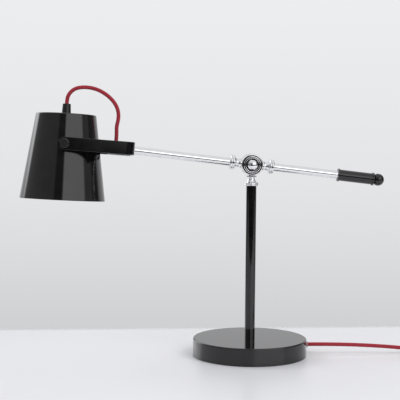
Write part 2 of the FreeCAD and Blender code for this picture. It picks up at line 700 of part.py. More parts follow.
def stem():
    """Chromed trumpet on the post, with the pin that turns in it and the hub's tongue."""
    pivot = "stem_height"
    top = "(stem_height - hub_diameter / 2 - hub_gap)"
    waist = "(stem_height - hub_diameter / 2 - hub_gap - stem_waist_drop)"
    body = turned_body("stem", [
        ("0", "-pin_length"),
        ("pin_diameter / 2", "-pin_length"),
        ("pin_diameter / 2", "0"),
        ("rim_radius", "0", "bead_radius"),
        ("rim_radius", "stem_rim / 2", "bead_radius"),
        ("rim_radius", "stem_rim"),
        ("lip_radius", "stem_rim", "-" + waist),
        ("stem_waist", waist, "-%s / 2" % waist),
        ("flare_radius", top + " - flare_edge"),
        ("flare_radius", top),
        ("0", top),
    ])
    pad(body, "tongue_disc", "XZ_Plane",
        lambda sketch: draw_circle(sketch, "0", pivot, "tongue_radius"), "tongue_thick", both_ways=True)
    pad(body, "tongue_neck_bar", "XZ_Plane",
        lambda sketch: draw_outline(sketch, box_corners(
            "-tongue_neck / 2", "tongue_neck / 2", waist, pivot)),
        "tongue_thick", both_ways=True)
    pocket(body, "tongue_hole", "XZ_Plane",
           lambda sketch: draw_circle(sketch, "0", pivot, "bolt_diameter / 2 + running"),
           "hub_depth", both_ways=True)
    pocket(body, "wire_way", "XY_Plane",
           lambda sketch: draw_circle(sketch, "0", "0", "wire_bore / 2"),
           "2 * (%s - tongue_radius / 2)" % pivot, both_ways=True)
    pocket(body, "wire_window", "XZ_Plane",
           lambda sketch: draw_outline(sketch, box_corners(
               "-tongue_radius - free", "0",
               "%s - tongue_radius / 2 - wire_bore" % pivot, "%s - tongue_radius / 2" % pivot)),
           "wire_bore", both_ways=True)
    groove = body.newObject("PartDesign::Groove", "clip_groove")
    groove_sketch = new_sketch(body, "clip_groove_outline", "XZ_Plane")
    draw_outline(groove_sketch, box_corners(
        "pin_diameter / 2 - clip_groove", "pin_diameter",
        "-insert_length - clip_thick - 2 * running", "-insert_length - running"))
    groove.Profile = groove_sketch
    groove.ReferenceAxis = (groove_sketch, ["V_Axis"])
    groove.Angle = 360
    place(body, ROW, z=size("hub_height - stem_height"))
    clip = turned_body("stem_clip", [
        ("pin_diameter / 2 - clip_groove + running", "0"),
        ("clip_diameter / 2", "0"),
        ("clip_diameter / 2", "clip_thick"),
        ("pin_diameter / 2 - clip_groove + running", "clip_thick"),
    ])
    pocket(clip, "clip_mouth", "XY_Plane",
           lambda sketch: draw_outline(sketch, box_corners(
               "0", "clip_diameter", "-pin_diameter / 3", "pin_diameter / 3")),
           "clip_thick", backwards=True)
    place(clip, ROW, z=size("hub_height - stem_height - insert_length - clip_thick - 1.5 * running"))


def drum_half(label, turn):
    """Half of the hub's drum, hollowed for the tongue, with half sockets for the collars."""
    face = "(hub_depth / 2)"
    wide = "(hub_diameter / 2)"
    body = turned_body(label, [
        ("bolt_diameter / 2 + running", "well_depth / 2"),
        ("well_radius", "well_depth / 2"),
        ("well_radius", "0"),
        (wide, "0"),
        (wide, face + " - hub_edge", "hub_edge"),
        (wide + " - hub_edge", face),
        ("ring_outer", face),
        ("ring_outer", face + " - ring_groove"),
        ("ring_inner", face + " - ring_groove"),
        ("ring_inner", face),
        ("bolt_diameter / 2 + running", face),
    ])
    reach = "(hub_diameter)"
    spread = "(arm_swing * 1 deg + asin(tongue_neck / 2 / well_radius) + 2 deg)"
    pocket(body, label + "_window", "XY_Plane",
           lambda sketch: draw_outline(sketch, [
               ("0", "0"),
               ("-%s * sin(%s)" % (reach, spread), "-%s * cos(%s)" % (reach, spread)),
               ("%s * sin(%s)" % (reach, spread), "-%s * cos(%s)" % (reach, spread)),
           ]), "well_depth / 2", backwards=True)
    pocket(body, label + "_sockets", "YZ_Plane",
           lambda sketch: draw_circle(sketch, "0", "0", "spigot_diameter / 2 + slip"),
           "hub_diameter * 2", both_ways=True)
    return place(body, ARM, turn=turn)


def friction_washers():
    """Fibre washers that grip the tongue from both sides."""
    washers = []
    for name, turn in (("front", TO_FRONT), ("back", TO_BACK)):
        washer = turned_body("friction_washer_" + name, [
            ("bolt_diameter / 2 + slip", "tongue_thick / 2 + running"),
            ("friction_radius", "tongue_thick / 2 + running"),
            ("friction_radius", "well_depth / 2"),
            ("bolt_diameter / 2 + slip", "well_depth / 2"),
        ])
        washer.Placement = Placement(V(0, 0, 0), turn)
        washers.append(washer)
    return place(together("friction_washers", washers), ARM)


def hub_fasteners():
    """Domed knob in front with its bolt through the hub, and the cap nut behind."""
    face = "(hub_depth / 2)"
    knob = turned_body("hub_knob", [
        ("0", "-%s - cap_nut_height / 2" % face),
        ("bolt_diameter / 2", "-%s - cap_nut_height / 2" % face),
        ("bolt_diameter / 2", face + " + running"),
        ("hub_knob_diameter / 2 - hub_knob_edge", face + " + running"),
        ("hub_knob_diameter / 2", face + " + hub_knob_edge"),
        ("hub_knob_diameter / 2", face + " + hub_knob_height - hub_knob_dome",
         dome("hub_knob_diameter / 2", "hub_knob_dome")),
        ("0", face + " + hub_knob_height"),
    ])
    place(knob, ARM, turn=TO_FRONT)
    nut = turned_body("hub_cap_nut", [
        ("0", "cap_nut_height / 2 + free"),
        ("bolt_diameter / 2 + running", "cap_nut_height / 2 + free"),
        ("bolt_diameter / 2 + running", "0"),
        ("cap_nut_diameter / 2", "0"),
        ("cap_nut_diameter / 2", "cap_nut_height / 2", dome("cap_nut_diameter / 2", "cap_nut_height / 2")),
        ("0", "cap_nut_height"),
    ])
    place(nut, ARM, y=size(face), turn=TO_BACK)


# ---------------------------------------------------------------- arm

def collar(label, turn):
    """Trumpet between the drum and a rod: spigot, waist and a rim of two beads."""
    flare = "(hub_diameter / 2 + slip)"
    body = turned_body(label, [
        ("wire_bore / 2", "well_radius + free"),
        ("spigot_diameter / 2", "well_radius + free"),
        ("spigot_diameter / 2", flare),
        ("collar_flare", flare),
        ("collar_flare", flare + " + flare_edge", "-collar_waist"),
        ("collar_waist", "collar_waist_reach", "-collar_waist_reach / 2"),
        ("lip_radius", "collar_rim_reach"),
        ("rim_radius", "collar_rim_reach", "collar_bead"),
        ("rim_radius", "collar_rim_reach + collar_rim / 2", "collar_bead"),
        ("rim_radius", "collar_rim_reach + collar_rim"),
        ("rod_diameter / 2 + slip", "collar_rim_reach + collar_rim"),
        ("rod_diameter / 2 + slip", "collar_rim_reach"),
        ("wire_bore / 2", "collar_rim_reach"),
    ])
    return place(body, ARM, turn=turn)


def rod(label, turn, end):
    """Chromed tube from the collar's socket outwards."""
    body = turned_body(label, [
        ("rod_diameter / 2 - rod_wall", "collar_rim_reach"),
        ("rod_diameter / 2", "collar_rim_reach"),
        ("rod_diameter / 2", end),
        ("rod_diameter / 2 - rod_wall", end),
    ])
    return place(body, ARM, turn=turn)


def arm_wire():
    wire = doc.addObject("Part::Cylinder", "arm_wire")
    wire.Label = "arm_wire"
    bind(wire, "Radius", "wire_diameter / 2")
    bind(wire, "Height", "fork_reach + rod_overlap - well_radius - free")
    place(wire, ARM, x=-size("well_radius + free"), turn=TO_LEFT)


def counterweight():
    """Steel sleeve with a thin flange at each end, held on the rod by a grub screw."""
    body = turned_body("counterweight", [
        ("rod_diameter / 2 + slip", "0"),
        ("counter_flange / 2", "0"),
        ("counter_flange / 2", "counter_flange_thick"),
        ("counter_diameter / 2", "counter_flange_thick"),
        ("counter_diameter / 2", "counter_length - counter_flange_thick"),
        ("counter_flange / 2", "counter_length - counter_flange_thick"),
        ("counter_flange / 2", "counter_length"),
        ("rod_diameter / 2 + slip", "counter_length"),
    ])
    pocket(body, "grub_hole", "YZ_Plane",
           lambda sketch: draw_circle(sketch, "0", "counter_length / 2", "grub_diameter / 2 + slip"),
           "counter_diameter", backwards=True)
    place(body, ARM, x=size("counter_reach"), turn=TO_RIGHT)
    grub = turned_body("counterweight_grub", [
        ("0", "socket_depth"),
        ("socket_radius", "socket_depth"),
        ("socket_radius", "0"),
        ("grub_diameter / 2", "0"),
        ("grub_diameter / 2", "grub_length"),
        ("0", "grub_length"),
    ])
    place(grub, ARM, size("counter_reach + counter_length / 2"), 0,
          -size("rod_diameter / 2 + slip / 2 + grub_length"))


def end_ball():
    """Ball that closes the rod: its stud sits in the tube."""
    radius = "(ball_diameter / 2)"
    seat = "(ball_diameter / 2 - sqrt(ball_diameter * ball_diameter / 4 - ball_neck * ball_neck))"
    body = turned_body("end_ball", [
        ("0", "-stud_length"),
        ("rod_diameter / 2 - rod_wall - slip", "-stud_length"),
        ("rod_diameter / 2 - rod_wall - slip", "0"),
        ("ball_neck", "0", radius),
        (radius, "%s - %s" % (radius, seat), radius),
        ("0", "ball_diameter - %s" % seat),
    ])
    place(body, ARM, x=size("counter_reach + counter_length"), turn=TO_RIGHT)


# ---------------------------------------------------------------- fork

def yoke():
    """Steel strip bent into a fork: a crossbar on the rod and two prongs along the shade."""
    half = "(fork_gap / 2)"
    outer_bend = "(fork_bend + fork_bar)"
    tip = "-pivot_reach - prong_round"
    body = new_body("yoke")
    pad(body, "strip", "XY_Plane", lambda sketch: draw_outline(sketch, [
        (tip, "-%s - fork_bar" % half),
        ("-%s" % outer_bend, "-%s - fork_bar" % half, outer_bend),
        ("0", "-%s - fork_bar + %s" % (half, outer_bend)),
        ("0", "%s + fork_bar - %s" % (half, outer_bend), outer_bend),
        ("-%s" % outer_bend, "%s + fork_bar" % half),
        (tip, "%s + fork_bar" % half),
        (tip, half),
        ("-%s" % outer_bend, half, "-fork_bend"),
        ("-fork_bar", "%s - fork_bend" % half),
        ("-fork_bar", "-%s + fork_bend" % half, "-fork_bend"),
        ("-%s" % outer_bend, "-%s" % half),
        (tip, "-%s" % half),
    ]), "fork_height", both_ways=True)
    pocket(body, "pivot_holes", "XZ_Plane",
           lambda sketch: draw_circle(sketch, "-pivot_reach", "0", "thumb_stud / 2 + running"),
           "2 * fork_gap", both_ways=True)
    pocket(body, "rod_hole", "YZ_Plane",
           lambda sketch: draw_circle(sketch, "0", "-fork_rise", "rod_diameter / 2 + free"),
           "2 * fork_bar + 1", both_ways=True)
    for side, sign in (("near", "-"), ("far", "")):
        pocket(body, "screw_hole_" + side, "YZ_Plane",
               lambda sketch: draw_circle(sketch, sign + "block_screw_offset", "-fork_rise",
                                          "grub_diameter / 2 + slip"),
               "2 * fork_bar + 1", both_ways=True)
    tip_x = -size("pivot_reach + prong_round")
    fillet_edges(body, "prong_ends", "min(prong_round; fork_height / 2 - 0.05)",
                 lambda edge: along(edge, Y_AXIS) and abs(edge.CenterOfMass.x - tip_x) < 1e-3)
    return place(body, FORK, z=size("fork_rise"))


def fork_block():
    """Block inside the fork that takes the rod's end and the jumper's bush."""
    blank = new_body("block_blank")
    pad(blank, "block_bar", "XY_Plane", lambda sketch: draw_outline(sketch, box_corners(
        "-fork_bar - block_length", "-fork_bar", "-block_width / 2", "block_width / 2")),
        "block_height", both_ways=True)
    pocket(blank, "bush_seat", "XY_Plane",
           lambda sketch: draw_circle(sketch, "-entry_reach", "0", "bush_spigot / 2 + slip"),
           "block_height", backwards=True)
    for side, sign in (("near", "-"), ("far", "")):
        pocket(blank, "block_thread_" + side, "YZ_Plane",
               lambda sketch: draw_circle(sketch, sign + "block_screw_offset", "0",
                                          "grub_diameter / 2 + slip"),
               "fork_bar + block_screw_length")
    pocket(blank, "grub_seat", "XY_Plane",
           lambda sketch: draw_circle(sketch, "-fork_bar - rod_overlap / 2", "0",
                                      "grub_diameter / 2 + slip"),
           "block_height")
    fillet_edges(blank, "block_edges", "block_edge", lambda edge: along(edge, X_AXIS)
                 and abs(abs(edge.CenterOfMass.y) - size("block_width / 2")) < 1e-3)
    blank.Placement = FORK
    bore = doc.addObject("Part::Cylinder", "rod_bore")
    bind(bore, "Radius", "rod_diameter / 2 + running")
    bind(bore, "Height", "rod_overlap + free")
    bore.Placement = ROLLED * Placement(V(0, 0, 0), TO_LEFT)
    wire_way = doc.addObject("Part::Cylinder", "rod_wire_way")
    bind(wire_way, "Radius", "wire_bore / 2")
    bind(wire_way, "Height", "entry_reach + bush_spigot / 2")
    wire_way.Placement = bore.Placement
    tools = doc.addObject("Part::MultiFuse", "block_bores")
    tools.Shapes = [bore, wire_way]
    block = doc.addObject("Part::Cut", "fork_block")
    block.Label = "fork_block"
    block.Base = blank
    block.Tool = tools
    place(block, ROW)


def fork_fasteners():
    """Two screws through the crossbar into the block, and the grub screw on the rod."""
    screws = []
    for side, sign in (("near", -1), ("far", 1)):
        screw = turned_body("block_screw_" + side, [
            ("0", "-fork_bar - block_screw_length + free"),
            ("grub_diameter / 2", "-fork_bar - block_screw_length + free"),
            ("grub_diameter / 2", "0"),
            ("block_screw_head / 2", "0"),
            ("block_screw_head / 2", "block_screw_side", dome("block_screw_head / 2", "block_screw_dome")),
            ("0", "block_screw_side + block_screw_dome"),
        ])
        screw.Placement = Placement(V(0, sign * size("block_screw_offset"), 0), TO_RIGHT)
        screws.append(screw)
    place(together("block_screws", screws), FORK)
    top = "(block_height / 2 - rod_diameter / 2 - 2 * free)"
    grub = turned_body("rod_grub", [
        ("0", "socket_depth"),
        ("socket_radius", "socket_depth"),
        ("socket_radius", "0"),
        ("grub_diameter / 2", "0"),
        ("grub_diameter / 2", top),
        ("0", top),
    ])
    place(grub, FORK, -size("fork_bar + rod_overlap / 2"), 0, -size("block_height / 2"))


def jumper_entry():
    """Bush on the block, the bend of the inner wire under it and the red jumper above."""
    top = "(block_height / 2)"
    bush = turned_body("cord_bush", [
        ("wire_bore / 2", "-bush_depth"),
        ("bush_spigot / 2", "-bush_depth"),
        ("bush_spigot / 2", "0"),
        ("bush_diameter / 2", "0"),
        ("bush_diameter / 2", "bush_flange - bush_edge", "bush_edge"),
        ("bush_diameter / 2 - bush_edge", "bush_flange"),
        ("wire_bore / 2", "bush_flange"),
    ])
    place(bush, FORK, -size("entry_reach"), 0, size(top))
    inner = cord("block_wire", [
        V(-size("entry_reach"), 0, size(top + " + bush_flange")),
        V(-size("entry_reach"), 0, 0.8),
        V(-size("rod_overlap + free"), 0, 0.4),
    ], size("wire_diameter"))
    place(inner, FORK)


JUMPER = [
    # hand-chosen points (x, z) in the fork's middle plane, from the grip to the bush
    (-104.4, 81.2), (-97.2, 88.2), (-86.0, 91.6), (-72.0, 91.8), (-58.6, 88.6), (-46.0, 82.0),
    (-35.0, 72.6), (-27.8, 60.6), (-26.2, 47.6), (-28.6, 35.0),
]


def jumper_cord():
    """Red jumper: out of the grip on the shade, over and down into the bush."""
    to_fork = FORK.inverse() * SHADE
    grip_top = size("shade_above + grip_height")
    start = to_fork.multVec(V(0, 0, grip_top))
    rising = to_fork.multVec(V(0, 0, grip_top + size("jumper_rise")))
    end = V(-size("entry_reach"), 0, size("block_height / 2 + bush_flange"))
    points = [start, rising] + [V(x, 0, z) for x, z in JUMPER] + [end + V(0, 0, size("jumper_drop")), end]
    return place(cord("jumper_cord", points, size("cord_diameter")), FORK)


# ---------------------------------------------------------------- shade

def shade_shell():
    """Spun cone with a closed top and an open mouth, drawn about the pivot."""
    slope = "((shade_mouth_radius - shade_top_radius) / (shade_above + shade_below))"
    body = turned_body("shade_shell", [
        ("nipple_diameter / 2 + slip", "shade_above"),
        ("nipple_diameter / 2 + slip", "shade_above - shade_wall"),
        ("shade_top_radius - shade_edge", "shade_above - shade_wall"),
        ("shade_top_radius - shade_wall + %s * shade_edge" % slope, "shade_above - shade_edge"),
        ("shade_mouth_radius - shade_wall", "-shade_below"),
        ("shade_mouth_radius", "-shade_below"),
        ("shade_top_radius + %s * shade_edge" % slope, "shade_above - shade_edge", "shade_edge"),
        ("shade_top_radius - shade_edge", "shade_above"),
    ])
    pocket(body, "boss_holes", "XZ_Plane",
           lambda sketch: draw_circle(sketch, "0", "0", "grub_diameter / 2 + slip"),
           "4 * shade_mouth_radius", both_ways=True)
    return place(body, SHADE)


def pivot_bosses():
    """Bosses on both sides of the shade, their feet cut to the cone."""
    cone = doc.addObject("Part::Cone", "shade_outside")
    bind(cone, "Radius1", "shade_mouth_radius")
    bind(cone, "Radius2", "shade_top_radius")
    bind(cone, "Height", "shade_above + shade_below")
    cone.Placement = Placement(V(0, 0, -size("shade_below")), UPRIGHT)
    blanks = []
    washers = []
    screws = []
    wall = "(shade_top_radius + (shade_mouth_radius - shade_top_radius) * shade_above"
    wall += " / (shade_above + shade_below))"
    for side, turn in (("near", TO_FRONT), ("far", TO_BACK)):
        blank = turned_body("boss_blank_" + side, [
            ("grub_diameter / 2 + slip", "%s - boss_diameter / 4" % wall),
            ("boss_diameter / 2", "%s - boss_diameter / 4" % wall),
            ("boss_diameter / 2", "fork_gap / 2 - boss_gap"),
            ("thumb_stud / 2 + running", "fork_gap / 2 - boss_gap"),
            ("thumb_stud / 2 + running", "fork_gap / 2 - thumb_stud_reach - free"),
            ("grub_diameter / 2 + slip", "fork_gap / 2 - thumb_stud_reach - free"),
        ])
        blank.Placement = Placement(V(0, 0, 0), turn)
        blanks.append(blank)
        washer = turned_body("pivot_washer_" + side, [
            ("thumb_stud / 2 + slip", "fork_gap / 2 - boss_gap"),
            ("boss_diameter / 2", "fork_gap / 2 - boss_gap"),
            ("boss_diameter / 2", "fork_gap / 2 - washer_gap"),
            ("thumb_stud / 2 + slip", "fork_gap / 2 - washer_gap"),
        ])
        washer.Placement = Placement(V(0, 0, 0), turn)
        washers.append(washer)
        inside = "%s - shade_wall - boss_screw_set" % wall
        screw = turned_body("boss_screw_" + side, [
            ("0", "%s - boss_screw_head_thick" % inside),
            ("boss_screw_head / 2", "%s - boss_screw_head_thick" % inside),
            ("boss_screw_head / 2", inside),
            ("grub_diameter / 2", inside),
            ("grub_diameter / 2", "%s + boss_screw_reach" % inside),
            ("0", "%s + boss_screw_reach" % inside),
        ])
        screw.Placement = Placement(V(0, 0, 0), turn)
        screws.append(screw)
    pair = together("boss_blanks", blanks)
    bosses = doc.addObject("Part::Cut", "pivot_bosses")
    bosses.Label = "pivot_bosses"
    bosses.Base = pair
    bosses.Tool = cone
    place(bosses, SHADE)
    place(together("pivot_washers", washers), SHADE)
    place(together("boss_screws", screws), SHADE)


def thumb_knob(label, turn):
    """Fluted knob outside a prong, with the stud that is the shade's pivot."""
    foot = "(fork_gap / 2 + fork_bar + running)"
    body = turned_body(label, [
        ("0", "fork_gap / 2 - thumb_stud_reach"),
        ("thumb_stud / 2", "fork_gap / 2 - thumb_stud_reach"),
        ("thumb_stud / 2", foot),
        ("thumb_diameter / 2 - thumb_edge", foot),
        ("thumb_diameter / 2 - thumb_edge", foot + " + thumb_collar"),
        ("thumb_diameter / 2", foot + " + thumb_collar"),
        ("thumb_diameter / 2", foot + " + thumb_height - thumb_edge", "thumb_edge"),
        ("thumb_diameter / 2 - thumb_edge", foot + " + thumb_height"),
        ("0", foot + " + thumb_height"),
    ])
    flute_sketch = new_sketch(body, label + "_flute_outline")
    flute_sketch.AttachmentOffset = Placement(V(0, 0, size(foot)), UPRIGHT)
    bind(flute_sketch, "AttachmentOffset.Base.z", foot)
    draw_circle(flute_sketch, "thumb_diameter / 2 + flute_radius / 2", "0", "flute_radius")
    flute = body.newObject("PartDesign::Pocket", label + "_flute")
    flute.Profile = flute_sketch
    flute.Reversed = True
    bind(flute, "Length", "thumb_height + 1")
    around(body, label + "_flutes", [flute], "thumb_flutes")
    return place(body, SHADE, turn=turn)


def cord_grip():
    """Tapered black grip on the shade's top, with its clamp screw."""
    body = turned_body("cord_grip", [
        ("nipple_diameter / 2 + slip", "0"),
        ("grip_foot / 2", "0"),
        ("grip_top / 2", "grip_height - grip_edge", "grip_edge"),
        ("grip_top / 2 - grip_edge", "grip_height"),
        ("wire_bore / 2", "grip_height"),
        ("wire_bore / 2", "shade_nipple_up + free"),
        ("nipple_diameter / 2 + slip", "shade_nipple_up + free"),
    ])
    pocket(body, "clamp_hole", "XZ_Plane",
           lambda sketch: draw_circle(sketch, "0", "grip_screw_rise", "grub_diameter / 2 + slip"),
           "grip_foot", backwards=True)
    place(body, SHADE, z=size("shade_above"))
    screw = turned_body("grip_screw", [
        ("0", "0"),
        ("grub_diameter / 2", "0"),
        ("grub_diameter / 2", "grip_screw_length"),
        ("socket_radius", "grip_screw_length"),
        ("socket_radius", "grip_screw_length - socket_depth"),
        ("0", "grip_screw_length - socket_depth"),
    ])
    place(screw, SHADE, 0, -size("grip_top / 2 - grip_screw_length + grip_screw_sunk"),
          size("shade_above + grip_screw_rise"), TO_FRONT)


def shade_fittings():
    """Nipple through the shade's top, its nut, and the lampholder and bulb beneath."""
    place(nipple_tube("shade_nipple", "shade_above - shade_nipple_down", "shade_above + shade_nipple_up"),
          SHADE)
    under = "(shade_above - shade_wall)"
    nut = new_body("shade_lock_nut")
    pad(nut, "lock_hexagon", "XY_Plane", lambda sketch: hexagon(sketch, "nut_across"), "lock_nut_thick")
    pocket(nut, "lock_bore", "XY_Plane",
           lambda sketch: draw_circle(sketch, "0", "0", "nipple_diameter / 2 + slip"),
           "lock_nut_thick", backwards=True)
    place(nut, SHADE, z=size(under + " - lock_nut_thick"))
    cap_top = "(shade_above - shade_wall - lock_nut_thick)"
    cap = turned_body("holder_cap", [
        ("nipple_diameter / 2 + slip", "0"),
        ("nipple_diameter / 2 + slip", "-holder_neck"),
        ("holder_neck - holder_wall / 2", "-holder_neck"),
        ("holder_diameter / 2 - holder_wall", "-holder_cap_height"),
        ("holder_diameter / 2", "-holder_cap_height"),
        ("holder_diameter / 2", "-holder_cap_height + 3", "holder_diameter / 2"),
        ("holder_neck", "0"),
    ])
    place(cap, SHADE, z=size(cap_top))
    barrel_top = cap_top[:-1] + " - holder_cap_height)"
    insulator = turned_body("holder_insulator", [
        ("0", "0"),
        ("holder_diameter / 2 - holder_wall - slip", "0"),
        ("holder_diameter / 2 - holder_wall - slip", "-contact_thick"),
        ("0", "-contact_thick"),
    ])
    place(insulator, SHADE, z=size(barrel_top))
    barrel = turned_body("holder_barrel", [
        ("holder_diameter / 2 - holder_wall", "0"),
        ("holder_diameter / 2", "0"),
        ("holder_diameter / 2", "-holder_length + holder_ring_height"),
        ("holder_ring / 2", "-holder_length + holder_ring_height"),
        ("holder_ring / 2", "-holder_length"),
        ("bulb_cap_diameter / 2 + free", "-holder_length"),
        ("bulb_cap_diameter / 2 + free", "-holder_length + holder_wall"),
        ("holder_diameter / 2 - holder_wall", "-holder_length + holder_wall"),
    ])
    place(barrel, SHADE, z=size(barrel_top))
    base = size(barrel_top + " - contact_thick - free")
    cap_metal = turned_body("bulb_cap", [
        ("0", "0"),
        ("bulb_cap_diameter / 4", "0"),
        ("bulb_cap_diameter / 2", "-bulb_cap_diameter / 4"),
        ("bulb_cap_diameter / 2", "-bulb_cap_length"),
        ("0", "-bulb_cap_length"),
    ])
    place(cap_metal, SHADE, z=base)
    neck = "(bulb_cap_diameter / 2 - slip)"
    glass = turned_body("bulb_glass", [
        ("0", "0"),
        (neck, "0"),
        (neck, "-holder_length + bulb_cap_length + contact_thick - bulb_cap_diameter / 2"),
        ("bulb_diameter / 2", "-bulb_length + bulb_diameter / 2", "-bulb_diameter / 2"),
        ("0", "-bulb_length"),
    ])
    place(glass, SHADE, z=base - size("bulb_cap_length"))


# ---------------------------------------------------------------- supply lead

SWITCH_X = 262.0
PLUG_BOOT_X = 325.0
COIL_X = 365.0


def supply_lead():
    """Red lead from the gland to the inline switch, held off the floor by its stiffness."""
    start = V(size("base_diameter / 2 + gland_flange_thick"), 0, size("lead_height"))
    level = size("switch_height / 2")
    points = [
        start, start + V(size("lead_straight"), 0, 0),
        V(136, 1.2, 15.8), V(170, 2.4, 14.5), V(204, 1.9, 12.6),
        V(232, 0.8, 10.6), V(248, 0, level), V(SWITCH_X, 0, level),
    ]
    return place(cord("supply_lead", points, size("cord_diameter")), ROW)


def lead_coil():
    """Red lead from the switch, wound in two layers and led out to the plug."""
    pitch = size("turn_pitch")
    width = size("cord_diameter")
    level = width / 2
    outlet = V(SWITCH_X + size("switch_length"), 0, size("switch_height / 2"))
    first = V(COIL_X, 0, level)
    lead_in, radii = arc_path([outlet, outlet + V(14, 0, 0), V(COIL_X - 11, 0, level), first])
    print("lead_coil: radii in %s" % ", ".join("%.0f" % radius for radius in radii))
    turns_in = int(size("coil_turns_in"))
    turns_out = int(size("coil_turns_out"))
    steps = list(range(turns_in + 1)) + list(range(turns_in - 1, turns_in - 1 - turns_out, -1))
    edges = list(lead_in)
    here = first
    heading = V(1, 0, 0)
    side = V(0, -1, 0)
    for number, step in enumerate(steps):
        radius = size("coil_outer") - step * pitch / 2
        climb = pitch if number == turns_in else 0.0
        there = here + side * (2 * radius) + V(0, 0, climb)
        crown = (here + there) * 0.5 + heading * ((there - here).Length / 2)
        edges.append(Part.Arc(here, crown, there).toShape())
        here = there
        heading = heading * -1
        side = side * -1
    exit_level = size("plug_height / 2")
    tail_end = V(PLUG_BOOT_X, here.y, exit_level)
    lead_out, radii = arc_path([here, here - V(13, 0, 0), tail_end + V(13, 0, 0), tail_end])
    print("lead_coil: radii out %s" % ", ".join("%.0f" % radius for radius in radii))
    edges += lead_out
    report_gap(edges, width)
    place(tube("lead_coil", edges, width), ROW)
    return tail_end


def report_gap(edges, width):
    """Print the least gap between stretches of the cord that lie along each other."""
    spacing = 2.0
    points = []
    for edge in edges:
        count = max(2, int(edge.Length / spacing))
        points += edge.discretize(count)[:-1]
    apart = int(3 * width / spacing)
    least = min(a.distanceToPoint(b) for number, a in enumerate(points) for b in points[number + apart:])
    print("lead_coil: least gap to itself %.2f" % (least - width))


def switch():
    """Inline switch: two shells screwed together, with the rocker on top."""
    half = "(switch_height / 2)"

    def outline(sketch):
        x = "(switch_length / 2)"
        y = "(switch_width / 2)"
        corner = "switch_corner"
        draw_outline(sketch, [
            ("-%s + %s" % (x, corner), "-%s" % y),
            ("%s - %s" % (x, corner), "-%s" % y, corner),
            (x, "-%s + %s" % (y, corner)),
            (x, "%s - %s" % (y, corner), corner),
            ("%s - %s" % (x, corner), y),
            ("-%s + %s" % (x, corner), y, corner),
            ("-%s" % x, "%s - %s" % (y, corner)),
            ("-%s" % x, "-%s + %s" % (y, corner), corner),
        ])

    middle = V(SWITCH_X + size("switch_length / 2"), 0, size(half))
    for label, turn in (("switch_lower", Rotation(X_AXIS, 180)), ("switch_upper", UPRIGHT)):
        body = new_body(label)
        pad(body, label + "_block", "XY_Plane", outline, half)
        top = size(half)
        fillet_edges(body, label + "_edge", "switch_edge",
                     lambda edge: abs(edge.BoundBox.ZMin - top) < 1e-4)
        pocket(body, label + "_hollow", "XY_Plane", lambda sketch: draw_outline(sketch, box_corners(
            "-switch_screw_offset + switch_screw + switch_rib",
            "switch_screw_offset - switch_screw - switch_rib",
            "-switch_width / 2 + switch_wall", "switch_width / 2 - switch_wall")),
            half + " - switch_wall", backwards=True)
        for side, sign in (("inlet", "-"), ("outlet", "")):
            pocket(body, "%s_%s_screw" % (label, side), "XY_Plane",
                   lambda sketch: draw_circle(sketch, sign + "switch_screw_offset", "0",
                                              "switch_screw / 2 + slip"),
                   "switch_screw_length / 2 + switch_rib", backwards=True)
        if label == "switch_upper":
            pocket(body, "rocker_opening", "XY_Plane", lambda sketch: draw_outline(sketch, box_corners(
                "-rocker_length / 2 - free", "rocker_length / 2 + free",
                "-rocker_width / 2 - free", "rocker_width / 2 + free")), "switch_height", backwards=True)
        place(body, ROW, middle.x, middle.y, middle.z, turn)
    screws = []
    for side, sign in (("inlet", -1), ("outlet", 1)):
        screw = turned_body("switch_screw_" + side, [
            ("0", "-switch_screw_length / 2"),
            ("switch_screw / 2", "-switch_screw_length / 2"),
            ("switch_screw / 2", "switch_screw_length / 2"),
            ("0", "switch_screw_length / 2"),
        ])
        screw.Placement = Placement(middle + V(sign * size("switch_screw_offset"), 0, 0), UPRIGHT)
        screws.append(screw)
    place(together("switch_screws", screws), ROW)
    rocker = new_body("switch_rocker")
    pad(rocker, "rocker_side", "XZ_Plane", lambda sketch: draw_outline(sketch, [
        ("-rocker_length / 2 + rocker_slant", "0"),
        ("rocker_length / 2 - rocker_slant", "0"),
        ("rocker_length / 2 - rocker_slant / 2", "rocker_height"),
        ("0", "rocker_height - rocker_dip"),
        ("-rocker_length / 2 + rocker_slant / 2", "rocker_height"),
    ]), "rocker_width - 2 * free", both_ways=True)
    pad(rocker, "rocker_axle", "XZ_Plane",
        lambda sketch: draw_circle(sketch, "0", "0", "rocker_axle_radius"),
        "rocker_width + 2 * rocker_axle_end", both_ways=True)
    place(rocker, ROW, middle.x, 0, size("switch_height + rocker_proud - rocker_height"),
          Rotation(Y_AXIS, size("rocker_angle")))


